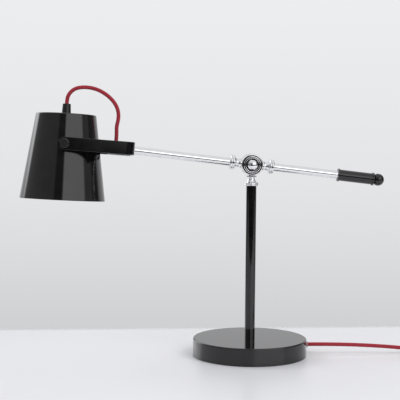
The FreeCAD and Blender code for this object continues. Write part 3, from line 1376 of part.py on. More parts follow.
def plug(tail_end):
    """Flat two-pin plug with its moulded strain relief, lying with its pins towards -X."""
    body = new_body("plug_body")
    pad(body, "plug_outline", "XY_Plane", lambda sketch: draw_outline(sketch, [
        ("-plug_length", "-plug_face / 2"),
        ("-plug_taper - plug_straight", "-plug_width / 2"),
        ("-plug_taper", "-plug_width / 2"),
        ("0", "-plug_tail / 2"),
        ("0", "plug_tail / 2"),
        ("-plug_taper", "plug_width / 2"),
        ("-plug_taper - plug_straight", "plug_width / 2"),
        ("-plug_length", "plug_face / 2"),
    ]), "plug_height", both_ways=True)
    half = size("plug_height / 2")
    fillet_edges(body, "plug_edges", "plug_corner",
                 lambda edge: abs(abs(edge.CenterOfMass.z) - half) < 1e-4
                 and -size("plug_length") + 0.1 < edge.CenterOfMass.x < -0.1)
    revolve(body, "boot", [
        ("-boot_edge", "0"),
        ("-boot_edge", "boot_wide / 2"),
        ("0", "boot_wide / 2"),
        ("boot_length - boot_edge", "boot_narrow / 2", "-boot_edge"),
        ("boot_length", "boot_narrow / 2 - boot_edge"),
        ("boot_length", "0"),
    ], "H_Axis")
    for side, sign in (("near", "-"), ("far", "")):
        seat = pocket(body, "pin_seat_" + side, "YZ_Plane",
                      lambda sketch: draw_circle(sketch, sign + "pin_spacing / 2", "0",
                                                 "plug_pin_diameter / 2"),
                      "plug_pin_root")
        bind(seat.Profile[0], "AttachmentOffset.Base.z", "plug_pin_root - plug_length")
    start_x = tail_end.x - size("boot_length")
    place(body, ROW, start_x, tail_end.y, tail_end.z)
    pins = []
    for side, sign in (("near", -1), ("far", 1)):
        pin = turned_body("plug_pin_" + side, [
            ("0", "-plug_pin_root"),
            ("plug_pin_diameter / 2", "-plug_pin_root"),
            ("plug_pin_diameter / 2", "plug_pin_length - plug_pin_edge", "plug_pin_edge"),
            ("plug_pin_diameter / 2 - plug_pin_edge", "plug_pin_length"),
            ("0", "plug_pin_length"),
        ])
        pin.Placement = Placement(V(start_x - size("plug_length"),
                                    tail_end.y + sign * size("pin_spacing / 2"), tail_end.z), TO_LEFT)
        pins.append(pin)
    place(together("plug_pins", pins), ROW)


# ---------------------------------------------------------------- assembly

base_cover()
base_weight()
base_plate()
base_pad()
plate_screws()
base_clamp()
lead_entry()
post()
stem()
drum_half("hub_front", TO_FRONT)
drum_half("hub_back", TO_BACK)
friction_washers()
hub_fasteners()
collar("collar_left", TO_LEFT)
collar("collar_right", TO_RIGHT)
rod("rod_left", TO_LEFT, "fork_reach + rod_overlap")
rod("rod_right", TO_RIGHT, "counter_reach + counter_length")
arm_wire()
counterweight()
end_ball()
yoke()
fork_block()
fork_fasteners()
jumper_entry()
jumper_cord()
shade_shell()
pivot_bosses()
thumb_knob("thumb_knob_near", TO_FRONT)
thumb_knob("thumb_knob_far", TO_BACK)
cord_grip()
shade_fittings()
supply_lead()
plug_place = lead_coil()
switch()
plug(plug_place)

doc.recompute()
failed = [item.Name for item in doc.Objects if "Invalid" in item.State or "Error" in item.State]
if failed:
    raise RuntimeError("these objects failed: " + ", ".join(failed))
os.makedirs("parts", exist_ok=True)
for sub_part in sub_parts:
    shape = sub_part.Shape
    if shape.isNull() or not shape.isValid() or shape.Volume < 1.0:
        raise RuntimeError("no sound solid in " + sub_part.Label)
for sub_part in sub_parts:
    sub_part.Shape.exportStep("parts/%s.step" % sub_part.Label)
print("%d sub-parts written" % len(sub_parts))
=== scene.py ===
from math import cos, hypot, pi, radians, sin, sqrt, tan

import bmesh
import bpy
from mathutils import Matrix, Quaternion, Vector


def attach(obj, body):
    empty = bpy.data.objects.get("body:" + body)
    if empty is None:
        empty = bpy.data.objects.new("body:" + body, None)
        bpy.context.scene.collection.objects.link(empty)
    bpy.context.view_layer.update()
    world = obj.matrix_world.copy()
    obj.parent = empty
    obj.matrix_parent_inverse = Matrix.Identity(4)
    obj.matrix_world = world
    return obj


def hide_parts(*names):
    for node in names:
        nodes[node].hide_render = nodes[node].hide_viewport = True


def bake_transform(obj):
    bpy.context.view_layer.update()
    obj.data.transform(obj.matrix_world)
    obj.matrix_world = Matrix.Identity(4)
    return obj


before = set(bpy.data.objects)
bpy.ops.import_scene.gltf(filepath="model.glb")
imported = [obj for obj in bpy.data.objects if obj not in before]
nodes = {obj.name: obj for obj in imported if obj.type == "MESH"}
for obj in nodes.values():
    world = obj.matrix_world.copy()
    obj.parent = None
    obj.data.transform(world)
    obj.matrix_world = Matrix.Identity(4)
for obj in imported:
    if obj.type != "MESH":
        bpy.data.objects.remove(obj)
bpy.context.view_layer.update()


# ---------------------------------------------------------------- base cover
# A spun steel cover, 180 mm across and 28 mm high, with a flat top and a softly turned edge.
# It is sprayed with black lacquer and polished, so it mirrors the post that stands on it.
# The same lacquer is on the post, the fork, the counterweight and the outside of the shade.

def new_finish(name, roughness, metallic=0.0):
    """A finish with its shader, ready for the patterns of its surface."""
    material = bpy.data.materials.new(name)
    material.use_nodes = True
    shader = material.node_tree.nodes["Principled BSDF"]
    shader.inputs["Roughness"].default_value = roughness
    shader.inputs["Metallic"].default_value = metallic
    return material, shader


def cloudy(material, grain, detail=3.0, stretch=(1.0, 1.0, 1.0)):
    """Irregular pattern with grains of that size in metres, fixed to the piece."""
    tree = material.node_tree
    where = tree.nodes.new("ShaderNodeTexCoord")
    lay = tree.nodes.new("ShaderNodeMapping")
    lay.inputs["Scale"].default_value = stretch
    noise = tree.nodes.new("ShaderNodeTexNoise")
    noise.inputs["Scale"].default_value = 1.0 / grain
    noise.inputs["Detail"].default_value = detail
    tree.links.new(where.outputs["Object"], lay.inputs["Vector"])
    tree.links.new(lay.outputs["Vector"], noise.inputs["Vector"])
    return noise.outputs["Fac"]


def colour_from(material, shader, pattern, dark, light, low=0.35, high=0.65):
    """Colour that moves from dark to light with the pattern."""
    tree = material.node_tree
    ramp = tree.nodes.new("ShaderNodeValToRGB")
    ramp.color_ramp.elements[0].position = low
    ramp.color_ramp.elements[0].color = (*dark, 1.0)
    ramp.color_ramp.elements[1].position = high
    ramp.color_ramp.elements[1].color = (*light, 1.0)
    tree.links.new(pattern, ramp.inputs["Fac"])
    tree.links.new(ramp.outputs["Color"], shader.inputs["Base Color"])


def sheen_from(material, shader, pattern, low, high):
    """Roughness that moves with the pattern, as polish and handling leave it."""
    tree = material.node_tree
    spread = tree.nodes.new("ShaderNodeMapRange")
    spread.inputs["From Min"].default_value = 0.3
    spread.inputs["From Max"].default_value = 0.7
    spread.inputs["To Min"].default_value = low
    spread.inputs["To Max"].default_value = high
    tree.links.new(pattern, spread.inputs["Value"])
    tree.links.new(spread.outputs["Result"], shader.inputs["Roughness"])


def relief_from(material, shader, pattern, depth):
    """Fine relief of that depth in metres."""
    tree = material.node_tree
    bump = tree.nodes.new("ShaderNodeBump")
    bump.inputs["Strength"].default_value = 1.0
    bump.inputs["Distance"].default_value = depth
    tree.links.new(pattern, bump.inputs["Height"])
    tree.links.new(bump.outputs["Normal"], shader.inputs["Normal"])


black_lacquer, shader = new_finish("black_lacquer", 0.07)
colour_from(black_lacquer, shader, cloudy(black_lacquer, 0.03),
            (0.0032, 0.003, 0.0034), (0.0075, 0.0066, 0.007))
sheen_from(black_lacquer, shader, cloudy(black_lacquer, 0.012, 6.0), 0.05, 0.11)
relief_from(black_lacquer, shader, cloudy(black_lacquer, 0.0022, 1.0), 0.0000035)
shader.inputs["Coat Weight"].default_value = 0.25
shader.inputs["Coat Roughness"].default_value = 0.025


def rounded(corners, steps=6):
    """Closed outline in which each corner (across, up, rounding) has its edge radius."""
    drawn = []
    for number, (across, up, rounding) in enumerate(corners):
        here = Vector((across, up))
        if not rounding:
            drawn.append(here)
            continue
        before = (Vector(corners[number - 1][:2]) - here).normalized()
        after = (Vector(corners[(number + 1) % len(corners)][:2]) - here).normalized()
        half = before.angle(after) / 2
        centre = here + (before + after).normalized() * (rounding / sin(half))
        first = here + before * (rounding / tan(half)) - centre
        last = here + after * (rounding / tan(half)) - centre
        drawn += [centre + first.slerp(last, step / steps) * rounding for step in range(steps + 1)]
    return drawn


def finished_piece(name, corners, faces, place, material, crease=32.0):
    """Mesh piece in its place, smooth over its curves and crisp at its creases."""
    mesh = bpy.data.meshes.new(name)
    mesh.from_pydata(corners, [], faces)
    work = bmesh.new()
    work.from_mesh(mesh)
    bmesh.ops.recalc_face_normals(work, faces=work.faces)
    work.to_mesh(mesh)
    work.free()
    mesh.transform(place @ Matrix.Scale(0.001, 4))
    mesh.shade_smooth()
    mesh.set_sharp_from_angle(angle=radians(crease))
    mesh.materials.append(material)
    piece = bpy.data.objects.new(name, mesh)
    bpy.context.scene.collection.objects.link(piece)
    even = piece.modifiers.new("even_shading", "WEIGHTED_NORMAL")
    even.keep_sharp = True
    return piece


def turned(name, corners, place, material, sides=144):
    """Piece turned on a lathe from an outline of radius, height and rounding in millimetres."""
    outline = rounded(corners)
    points = []
    rings = []
    for radius, height in outline:
        if radius < 1e-6:
            rings.append([len(points)] * sides)
            points.append((0.0, 0.0, height))
            continue
        rings.append(list(range(len(points), len(points) + sides)))
        points += [(radius * cos(2 * pi * spoke / sides), radius * sin(2 * pi * spoke / sides), height)
                   for spoke in range(sides)]
    faces = []
    for low, high in zip(rings, rings[1:] + rings[:1]):
        for spoke in range(sides):
            after = (spoke + 1) % sides
            corner_list = [low[spoke], low[after], high[after], high[spoke]]
            face = list(dict.fromkeys(corner_list))
            if len(face) > 2:
                faces.append(face)
    return finished_piece(name, points, faces, place, material)


UPRIGHT = Matrix.Identity(4)
cover = turned("base_cover_lacquered", [
    (5.2, 28.0, 0), (90.0, 28.0, 2.0), (90.0, 0.5, 0.4), (88.5, 0.5, 0.4), (88.5, 26.5, 0.5), (5.2, 26.5, 0),
], UPRIGHT, black_lacquer, sides=256)
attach(cover, "base")
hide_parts("base_cover")


# ---------------------------------------------------------------- inside of the base
# A cast iron slab gives the base its weight. A zinc-plated plate closes it from below, three
# screws hold the plate to the slab's legs, and a soft black pad is glued under the plate.
# A threaded tube, a washer and a nut draw the post, the cover and the slab together.

def dress(material, *names):
    """A solid of the frame keeps its shape and gets this finish."""
    for name in names:
        piece = nodes[name]
        piece.data.materials.clear()
        piece.data.materials.append(material)


cast_iron, shader = new_finish("cast_iron", 0.6, 0.85)
casting = cloudy(cast_iron, 0.0016, 5.0)
colour_from(cast_iron, shader, casting, (0.06, 0.055, 0.055), (0.16, 0.15, 0.145))
sheen_from(cast_iron, shader, casting, 0.5, 0.8)
relief_from(cast_iron, shader, casting, 0.0003)
dress(cast_iron, "base_weight")

zinc_plate, shader = new_finish("zinc_plate", 0.35, 1.0)
spangle = cloudy(zinc_plate, 0.004, 4.0)
colour_from(zinc_plate, shader, spangle, (0.42, 0.43, 0.45), (0.62, 0.63, 0.66))
sheen_from(zinc_plate, shader, cloudy(zinc_plate, 0.0015), 0.28, 0.45)
relief_from(zinc_plate, shader, spangle, 0.00002)
dress(zinc_plate, "base_plate", "plate_screws", "post_nipple", "base_washer", "base_nut")

soft_pad, shader = new_finish("soft_pad", 0.9)
nap = cloudy(soft_pad, 0.0006, 6.0)
colour_from(soft_pad, shader, nap, (0.012, 0.012, 0.013), (0.035, 0.034, 0.036))
relief_from(soft_pad, shader, nap, 0.00025)
shader.inputs["Sheen Weight"].default_value = 0.3
dress(soft_pad, "base_pad")


# ---------------------------------------------------------------- lead entry
# The red lead enters the base through a clear moulded gland with a round flange.
# Inside, a white terminal block stands on the plate and joins the lead to the inner wires.

clear_plastic, shader = new_finish("clear_plastic", 0.1)
flow = cloudy(clear_plastic, 0.003, 2.0)
colour_from(clear_plastic, shader, flow, (0.82, 0.84, 0.84), (0.95, 0.96, 0.96))
sheen_from(clear_plastic, shader, flow, 0.08, 0.2)
relief_from(clear_plastic, shader, flow, 0.00004)
shader.inputs["IOR"].default_value = 1.47
shader.inputs["Transmission Weight"].default_value = 0.8
dress(clear_plastic, "lead_gland")

white_plastic, shader = new_finish("white_plastic", 0.35)
grain = cloudy(white_plastic, 0.0008, 4.0)
colour_from(white_plastic, shader, grain, (0.72, 0.71, 0.67), (0.82, 0.81, 0.78))
relief_from(white_plastic, shader, grain, 0.00002)
sheen_from(white_plastic, shader, grain, 0.3, 0.42)
dress(white_plastic, "terminal_block")

core_sleeve, shader = new_finish("core_sleeve", 0.5)
colour_from(core_sleeve, shader, cloudy(core_sleeve, 0.002), (0.55, 0.54, 0.5), (0.7, 0.69, 0.64))
relief_from(core_sleeve, shader, cloudy(core_sleeve, 0.0007), 0.00004)
dress(core_sleeve, "post_wire")


# ---------------------------------------------------------------- post
# A steel tube of 16 mm with a wall of 1.2 mm, lacquered like the base it stands on.
# Its foot is screwed down on the threaded tube, and a brass plug in its top carries the stem.

post = turned("post_lacquered", [
    (5.2, 28.0, 0), (8.0, 28.0, 0.25), (8.0, 270.0, 0.35), (6.8, 270.0, 0.2), (6.8, 44.0, 0), (5.2, 44.0, 0),
], UPRIGHT, black_lacquer)
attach(post, "base")
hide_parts("post_tube")

brass, shader = new_finish("turned_brass", 0.3, 1.0)
tool_marks = cloudy(brass, 0.0012, 3.0, (1.0, 1.0, 6.0))
colour_from(brass, shader, tool_marks, (0.5, 0.34, 0.12), (0.66, 0.48, 0.2))
sheen_from(brass, shader, tool_marks, 0.22, 0.4)
dress(brass, "post_top_plug")


# ---------------------------------------------------------------- stem and hub
# The stem is a chromed trumpet that turns in the post's top. Its tongue stands in a drum made
# of two halves, which a domed knob in front and a cap nut behind pull together on fibre washers.

chrome, shader = new_finish("polished_chrome", 0.05, 1.0)
haze = cloudy(chrome, 0.006, 5.0)
colour_from(chrome, shader, haze, (0.8, 0.8, 0.82), (0.88, 0.88, 0.89))
sheen_from(chrome, shader, haze, 0.035, 0.09)
relief_from(chrome, shader, cloudy(chrome, 0.0018, 1.0), 0.0000012)
dress(chrome, "stem", "hub_front", "hub_back", "hub_knob", "hub_cap_nut")

washer_fibre, shader = new_finish("washer_fibre", 0.8)
fibres = cloudy(washer_fibre, 0.0005, 6.0)
colour_from(washer_fibre, shader, fibres, (0.13, 0.05, 0.025), (0.26, 0.13, 0.07))
relief_from(washer_fibre, shader, fibres, 0.00005)
dress(washer_fibre, "friction_washers")
dress(zinc_plate, "stem_clip")


# ---------------------------------------------------------------- arm
# A raised ring runs round the knob on the drum's face. Two collars, trumpets with a rim of two
# beads, stand in the drum's sides. Each holds a chromed tube of 12.5 mm: the left one carries
# the fork, the right one the black counterweight.

HUB_HEIGHT = 0.303
ARM_PITCH = radians(6.6)
ROD_RADIUS = 6.25
ROD_BORE = 5.05
ARM = Matrix.Translation((0.0, 0.0, HUB_HEIGHT)) @ Matrix.Rotation(ARM_PITCH, 4, "Y")
TO_LEFT = Matrix.Rotation(radians(-90.0), 4, "Y")
TO_RIGHT = Matrix.Rotation(radians(90.0), 4, "Y")
TO_FRONT = Matrix.Rotation(radians(90.0), 4, "X")
hub_bead = turned("hub_bead_chromed", [
    (10.2, 10.7, 0), (13.6, 10.7, 0), (13.6, 12.0, 1.1), (10.2, 12.0, 1.1),
], ARM @ TO_FRONT, chrome)
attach(hub_bead, "arm")
dress(chrome, "collar_left", "collar_right")
for name, end, turn in (("rod_left", 209.0, TO_LEFT), ("rod_right", 195.8, TO_RIGHT)):
    rod = turned(name + "_chromed", [
        (ROD_BORE, 27.4, 0), (ROD_RADIUS, 27.4, 0), (ROD_RADIUS, end, 0.3), (ROD_BORE, end, 0.2),
    ], ARM @ turn, chrome)
    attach(rod, "arm")
    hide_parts(name)
dress(core_sleeve, "arm_wire")

counterweight = turned("counterweight_lacquered", [
    (6.35, 0.0, 0.2), (10.2, 0.0, 0.45), (10.2, 2.4, 0.35), (8.9, 2.4, 0.25), (8.9, 55.6, 0.25),
    (10.2, 55.6, 0.35), (10.2, 58.0, 0.45), (6.35, 58.0, 0.2),
], ARM @ Matrix.Translation((0.1378, 0.0, 0.0)) @ TO_RIGHT, black_lacquer)
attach(counterweight, "arm")
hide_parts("counterweight")
dress(black_lacquer, "end_ball")
dress(zinc_plate, "counterweight_grub")


# ---------------------------------------------------------------- fork
# Flat steel of 4.5 by 19.6 mm, bent into a fork round the shade and lacquered black, with its
# long edges eased and its ends rounded. A block inside it takes the rod and the jumper's bush.

FORK_REACH = 0.187
STRIP_RISE = 0.0013
ROLLED = ARM @ Matrix.Translation((-FORK_REACH, 0.0, 0.0)) @ Matrix.Rotation(radians(-3.6), 4, "X")
FORK = ROLLED @ Matrix.Rotation(radians(-2.4), 4, "Y")
STRIP = 4.5
HALF_HEIGHT = 9.8
END_ROUND = 9.6
TIP = -115.6


def strip_stations():
    """Middle line of the bent strip with its outward direction and half its height there."""
    stations = []
    near_tip = [TIP + END_ROUND * (1 - cos(radians(6 * step))) for step in range(16)]
    for along in near_tip + [-95.0, -60.0, -30.0]:
        back = min(along - TIP, END_ROUND)
        half = HALF_HEIGHT - END_ROUND + sqrt(END_ROUND ** 2 - (END_ROUND - back) ** 2)
        stations.append((Vector((along, -62.25)), Vector((0.0, -1.0)), half))
    for step in range(17):
        outward = Vector((sin(radians(step * 90 / 16)), -cos(radians(step * 90 / 16))))
        stations.append((Vector((-13.5, -51.0)) + outward * 11.25, outward, HALF_HEIGHT))
    stations.append((Vector((-2.25, 0.0)), Vector((1.0, 0.0)), HALF_HEIGHT))
    far = [(Vector((spot.x, -spot.y)), Vector((outward.x, -outward.y)), half)
           for spot, outward, half in reversed(stations[:-1])]
    return stations + far


def eased_section(half_thick, half_height):
    """Cross-section of the strip with its four edges eased."""
    ease = min(0.6, half_height * 0.9)
    section = []
    for quarter, (side, up) in enumerate(((1, 1), (-1, 1), (-1, -1), (1, -1))):
        for step in range(5):
            angle = radians(quarter * 90 + step * 22.5)
            section.append((side * (half_thick - ease) + ease * cos(angle),
                            up * (half_height - ease) + ease * sin(angle)))
    return section


strip_points = []
strip_faces = []
for spot, outward, half in strip_stations():
    for across, up in eased_section(STRIP / 2, half):
        strip_points.append((spot.x + outward.x * across, spot.y + outward.y * across, up))
ring = len(eased_section(STRIP / 2, HALF_HEIGHT))
for start in range(0, len(strip_points) - ring, ring):
    for step in range(ring):
        after = (step + 1) % ring
        strip_faces.append((start + step, start + after, start + ring + after, start + ring + step))
strip_faces += [tuple(range(ring)), tuple(range(len(strip_points) - ring, len(strip_points)))]
yoke = finished_piece("yoke_bent_strip", strip_points, strip_faces,
                      FORK @ Matrix.Translation((0.0, 0.0, STRIP_RISE)), black_lacquer)
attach(yoke, "fork")
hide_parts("yoke")
dress(black_lacquer, "fork_block")
dress(zinc_plate, "block_screws", "rod_grub")
dress(core_sleeve, "block_wire")

black_plastic, shader = new_finish("black_plastic", 0.25)
moulding = cloudy(black_plastic, 0.0009, 3.0)
colour_from(black_plastic, shader, moulding, (0.006, 0.006, 0.0065), (0.013, 0.0125, 0.013))
sheen_from(black_plastic, shader, moulding, 0.18, 0.32)
relief_from(black_plastic, shader, moulding, 0.000012)
dress(black_plastic, "cord_bush")


# ---------------------------------------------------------------- shade
# A spun steel cone with a closed top, black lacquer outside and satin white paint inside.
# Two bosses stand on its sides, where fluted knobs pinch the fork's ends against washers.

PIVOT_REACH = 0.106
SHADE = FORK @ Matrix.Translation((-PIVOT_REACH, 0.0, STRIP_RISE)) @ Matrix.Rotation(radians(-1.5), 4, "Y")
TOP_RADIUS, MOUTH_RADIUS, TOP, MOUTH = 46.4, 66.0, 46.4, -85.7
shade = turned("shade_spun_cone", [
    (5.2, TOP, 0), (TOP_RADIUS, TOP, 1.8), (MOUTH_RADIUS, MOUTH, 0.5), (MOUTH_RADIUS - 1.2, MOUTH, 0.5),
    (TOP_RADIUS - 1.2, TOP - 1.2, 0.8), (5.2, TOP - 1.2, 0),
], SHADE, black_lacquer, sides=256)

white_paint, shader = new_finish("satin_white_paint", 0.45)
spray = cloudy(white_paint, 0.0012, 4.0)
colour_from(white_paint, shader, spray, (0.74, 0.73, 0.7), (0.82, 0.81, 0.78))
sheen_from(white_paint, shader, spray, 0.4, 0.55)
relief_from(white_paint, shader, spray, 0.000015)
shade.data.materials.append(white_paint)
to_shade = SHADE.inverted()
for face in shade.data.polygons:
    middle = (to_shade @ face.center) * 1000
    wall = TOP_RADIUS + (MOUTH_RADIUS - TOP_RADIUS) * (TOP - middle.z) / (TOP - MOUTH)
    if hypot(middle.x, middle.y) < wall - 1.0 and middle.z < TOP - 0.6:
        face.material_index = 1
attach(shade, "shade")
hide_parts("shade_shell")
dress(black_lacquer, "pivot_bosses")
dress(white_plastic, "pivot_washers")
dress(zinc_plate, "boss_screws", "shade_nipple", "shade_lock_nut")
dress(black_plastic, "thumb_knob_near", "thumb_knob_far")


# ---------------------------------------------------------------- lampholder and lamp
# A black moulded lampholder hangs on the threaded tube under the shade's top. The lamp in it
# has a nickel-plated screw cap and a round opal glass.

nickel, shader = new_finish("nickel_plate", 0.22, 1.0)
dull = cloudy(nickel, 0.002, 4.0)
colour_from(nickel, shader, dull, (0.5, 0.48, 0.43), (0.66, 0.64, 0.58))
sheen_from(nickel, shader, dull, 0.18, 0.32)
dress(nickel, "bulb_cap", "plug_pins")
dress(black_plastic, "holder_cap", "holder_barrel")
dress(white_plastic, "holder_insulator")

opal_glass, shader = new_finish("opal_glass", 0.12)
milk = cloudy(opal_glass, 0.02, 2.0)
colour_from(opal_glass, shader, milk, (0.82, 0.81, 0.78), (0.88, 0.87, 0.85))
sheen_from(opal_glass, shader, milk, 0.08, 0.16)
shader.inputs["Transmission Weight"].default_value = 0.2
shader.inputs["Coat Weight"].default_value = 0.3
dress(opal_glass, "bulb_glass")
dress(black_plastic, "cord_grip")
dress(cast_iron, "grip_screw")


# ---------------------------------------------------------------- jumper
# A short red lead with a woven sleeve of 6 mm rises out of the grip on the shade, bows over
# and goes down into the bush on the block.

red_sleeve, shader = new_finish("red_woven_sleeve", 0.75)
tree = red_sleeve.node_tree
along_cord = tree.nodes.new("ShaderNodeUVMap")
along_cord.uv_map = "along_and_around"
strands = []
for lean in (45.0, -45.0):
    lay = tree.nodes.new("ShaderNodeMapping")
    lay.inputs["Scale"].default_value = (185.0, 3.5543, 1.0)
    lay.inputs["Rotation"].default_value = (0.0, 0.0, radians(lean))
    bands = tree.nodes.new("ShaderNodeTexWave")
    bands.inputs["Scale"].default_value = 1.0
    tree.links.new(along_cord.outputs["UV"], lay.inputs["Vector"])
    tree.links.new(lay.outputs["Vector"], bands.inputs["Vector"])
    strands.append(bands.outputs["Fac"])
weave_relief_and_painted_shade = tree.nodes.new("ShaderNodeMath")
weave_relief_and_painted_shade.operation = "MAXIMUM"
tree.links.new(strands[0], weave_relief_and_painted_shade.inputs[0])
tree.links.new(strands[1], weave_relief_and_painted_shade.inputs[1])
# The weave sets both the sleeve's relief and its colour: the darker red between the strands is painted shade,
# and the paler red on them is a painted highlight.
colour_from(red_sleeve, shader, weave_relief_and_painted_shade.outputs["Value"], (0.2, 0.008, 0.018), (0.44, 0.026, 0.045), 0.3, 0.95)
relief_from(red_sleeve, shader, weave_relief_and_painted_shade.outputs["Value"], 0.00025)
shader.inputs["Sheen Weight"].default_value = 0.25
shader.inputs["Sheen Roughness"].default_value = 0.4


def sleeve(name, route, width=0.006, around=24):
    """Woven sleeve on a smooth spline that is drawn through the route, and the line that it follows."""
    curve = bpy.data.curves.new(name + "_line", "CURVE")
    curve.dimensions = "3D"
    curve.resolution_u = 12
    spline = curve.splines.new("NURBS")
    spline.points.add(len(route) - 1)
    for point, spot in zip(spline.points, route):
        point.co = (*spot, 1.0)
    spline.order_u = 3
    spline.use_endpoint_u = True
    carrier = bpy.data.objects.new(name + "_line", curve)
    line = [corner.co.copy() for corner in bpy.data.meshes.new_from_object(carrier).vertices]
    bpy.data.objects.remove(carrier)
    points = []
    reach = [0.0]
    side = None
    for number, here in enumerate(line):
        ahead = (line[min(number + 1, len(line) - 1)] - line[max(number - 1, 0)]).normalized()
        side = ahead.orthogonal() if side is None else side - ahead * side.dot(ahead)
        side.normalize()
        other = ahead.cross(side)
        for spoke in range(around):
            outward = side * cos(2 * pi * spoke / around) + other * sin(2 * pi * spoke / around)
            points.append(here + outward * width / 2)
        if number:
            reach.append(reach[-1] + (here - line[number - 1]).length)
    faces = []
    laid = []
    for number in range(len(line) - 1):
        for spoke in range(around):
            after = (spoke + 1) % around
            low, high = number * around, (number + 1) * around
            faces.append((low + spoke, low + after, high + after, high + spoke))
            laid += [reach[number], spoke / around, reach[number], (spoke + 1) / around,
                     reach[number + 1], (spoke + 1) / around, reach[number + 1], spoke / around]
    faces += [tuple(reversed(range(around))), tuple(range(len(points) - around, len(points)))]
    laid += [0.0] * (4 * around)
    mesh = bpy.data.meshes.new(name)
    mesh.from_pydata(points, [], faces)
    mesh.uv_layers.new(name="along_and_around").data.foreach_set("uv", laid)
    mesh.shade_smooth()
    mesh.set_sharp_from_angle(angle=radians(50.0))
    mesh.materials.append(red_sleeve)
    piece = bpy.data.objects.new(name, mesh)
    bpy.context.scene.collection.objects.link(piece)
    return piece, line


grip_top = SHADE @ Vector((0.0, 0.0, 0.0627))
jumper_route = [grip_top, SHADE @ Vector((0.0, 0.0, 0.0713))] + [
    FORK @ Vector((across, 0.0, up)) for across, up in (
        (-0.1044, 0.0812), (-0.0972, 0.0882), (-0.086, 0.0916), (-0.072, 0.0918), (-0.0586, 0.0886),
        (-0.046, 0.082), (-0.035, 0.0726), (-0.0278, 0.0606), (-0.0262, 0.0476), (-0.0286, 0.035),
        (-0.0275, 0.0236), (-0.0275, 0.012))]
jumper, jumper_line = sleeve("jumper_red_sleeve", jumper_route)
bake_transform(jumper)
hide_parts("jumper_cord")


# ---------------------------------------------------------------- supply lead
# The same red sleeved lead leaves the gland and comes down to the table in one long low sweep.
# It runs into an inline switch of black moulded plastic, which rests on the table.

lead_route = [
    (0.0928, 0.0, 0.0165), (0.1088, 0.0, 0.0165), (0.136, 0.0012, 0.0158), (0.17, 0.0024, 0.0145),
    (0.204, 0.0019, 0.0126), (0.232, 0.0008, 0.0106), (0.248, 0.0, 0.009), (0.262, 0.0, 0.009)]
lead, lead_line = sleeve("supply_lead_red_sleeve", lead_route)
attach(lead, "base")
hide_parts("supply_lead")
dress(black_plastic, "switch_lower", "switch_upper", "switch_rocker")
dress(zinc_plate, "switch_screws")

inner_lead, inner_line = sleeve("base_lead_red_sleeve", [
    (0.0928, 0.0, 0.0165), (0.0688, 0.0, 0.0165), (0.0488, 0.0, 0.012), (0.0268, 0.0, 0.0077),
    (0.01, 0.0, 0.0077)])
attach(inner_lead, "base")
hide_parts("base_lead")


# ---------------------------------------------------------------- spare lead and plug
# The rest of the lead is wound in a flat coil of two layers beside the lamp, as it is stored.
# Its end comes off the upper layer and runs into the strain relief of a flat two-pin plug.

COIL_MIDDLE = 0.365
OUTER_RADIUS = 0.04675
RADIUS_STEP = 0.00325
SPLINE_ALLOWANCE = 1.0196
LEAD_RADIUS = 0.003
LAYER_RISE = 0.0065
coil_route = [(0.322, 0.0, 0.009), (0.336, 0.0, 0.009), (0.354, 0.0, LEAD_RADIUS)]
edge_y = 0.0
level = LEAD_RADIUS
heading = 1
for step in (0, 1, 2, 3, 4, 5, 6, 7, 6, 5, 4, 3, 2):
    radius = OUTER_RADIUS - RADIUS_STEP * step
    for share in range(8):
        sweep = radians((share + 0.5) * 22.5)
        rise = LAYER_RISE * (share + 0.5) / 8 if step == 7 else 0.0
        coil_route.append((COIL_MIDDLE + heading * radius * SPLINE_ALLOWANCE * sin(sweep),
                           edge_y - heading * radius * (1 - SPLINE_ALLOWANCE * cos(sweep)), level + rise))
    edge_y -= heading * 2 * radius
    level += LAYER_RISE if step == 7 else 0.0
    heading = -heading
coil_route += [(0.352, -0.0935, 0.0095), (0.338, -0.0935, 0.007), (0.325, -0.0935, 0.007)]
coil, coil_line = sleeve("lead_coil_red_sleeve", coil_route)
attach(coil, "base")
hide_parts("lead_coil")
dress(black_plastic, "plug_body")


# ---------------------------------------------------------------- table and room
# The lamp stands on a pale table with a low gloss, in front of a pale grey wall.
# The room shows in the lacquer and the chrome: soft boxes at the right front and the left
# back, a pale wall behind, and a dark room low down in front, round the place it is seen from.

table_paint, shader = new_finish("table_paint", 0.32)
tree = table_paint.node_tree
colour_from(table_paint, shader, cloudy(table_paint, 0.25, 2.0), (0.855, 0.855, 0.885), (0.87, 0.87, 0.9))
fade = tree.nodes.new("ShaderNodeMapRange")
fade.interpolation_type = "SMOOTHSTEP"
fade.inputs["From Min"].default_value = 0.215
fade.inputs["From Max"].default_value = 0.245
place_on_table = tree.nodes.new("ShaderNodeTexCoord")
split = tree.nodes.new("ShaderNodeSeparateXYZ")
clear = tree.nodes.new("ShaderNodeBsdfTransparent")
edge = tree.nodes.new("ShaderNodeMixShader")
tree.links.new(place_on_table.outputs["Object"], split.inputs["Vector"])
tree.links.new(split.outputs["Y"], fade.inputs["Value"])
tree.links.new(fade.outputs["Result"], edge.inputs["Fac"])
tree.links.new(shader.outputs["BSDF"], edge.inputs[1])
tree.links.new(clear.outputs["BSDF"], edge.inputs[2])
tree.links.new(edge.outputs["Shader"], tree.nodes["Material Output"].inputs["Surface"])
for name, front, back, mirrored_too in (("table_top", -1.1, 0.245, True), ("table_front", -3.0, -1.1, False)):
    table_mesh = bpy.data.meshes.new(name)
    table_mesh.from_pydata([(-3.0, front, 0.0), (3.0, front, 0.0), (3.0, back, 0.0), (-3.0, back, 0.0)],
                           [], [(0, 1, 2, 3)])
    table_mesh.materials.append(table_paint)
    table = bpy.data.objects.new(name, table_mesh)
    table.visible_glossy = mirrored_too
    bpy.context.scene.collection.objects.link(table)

room = bpy.data.worlds.new("studio_room")
bpy.context.scene.world = room
room.use_nodes = True
tree = room.node_tree
tree.nodes.clear()
sight = tree.nodes.new("ShaderNodeTexCoord")
split = tree.nodes.new("ShaderNodeSeparateXYZ")
tree.links.new(sight.outputs["Generated"], split.inputs["Vector"])


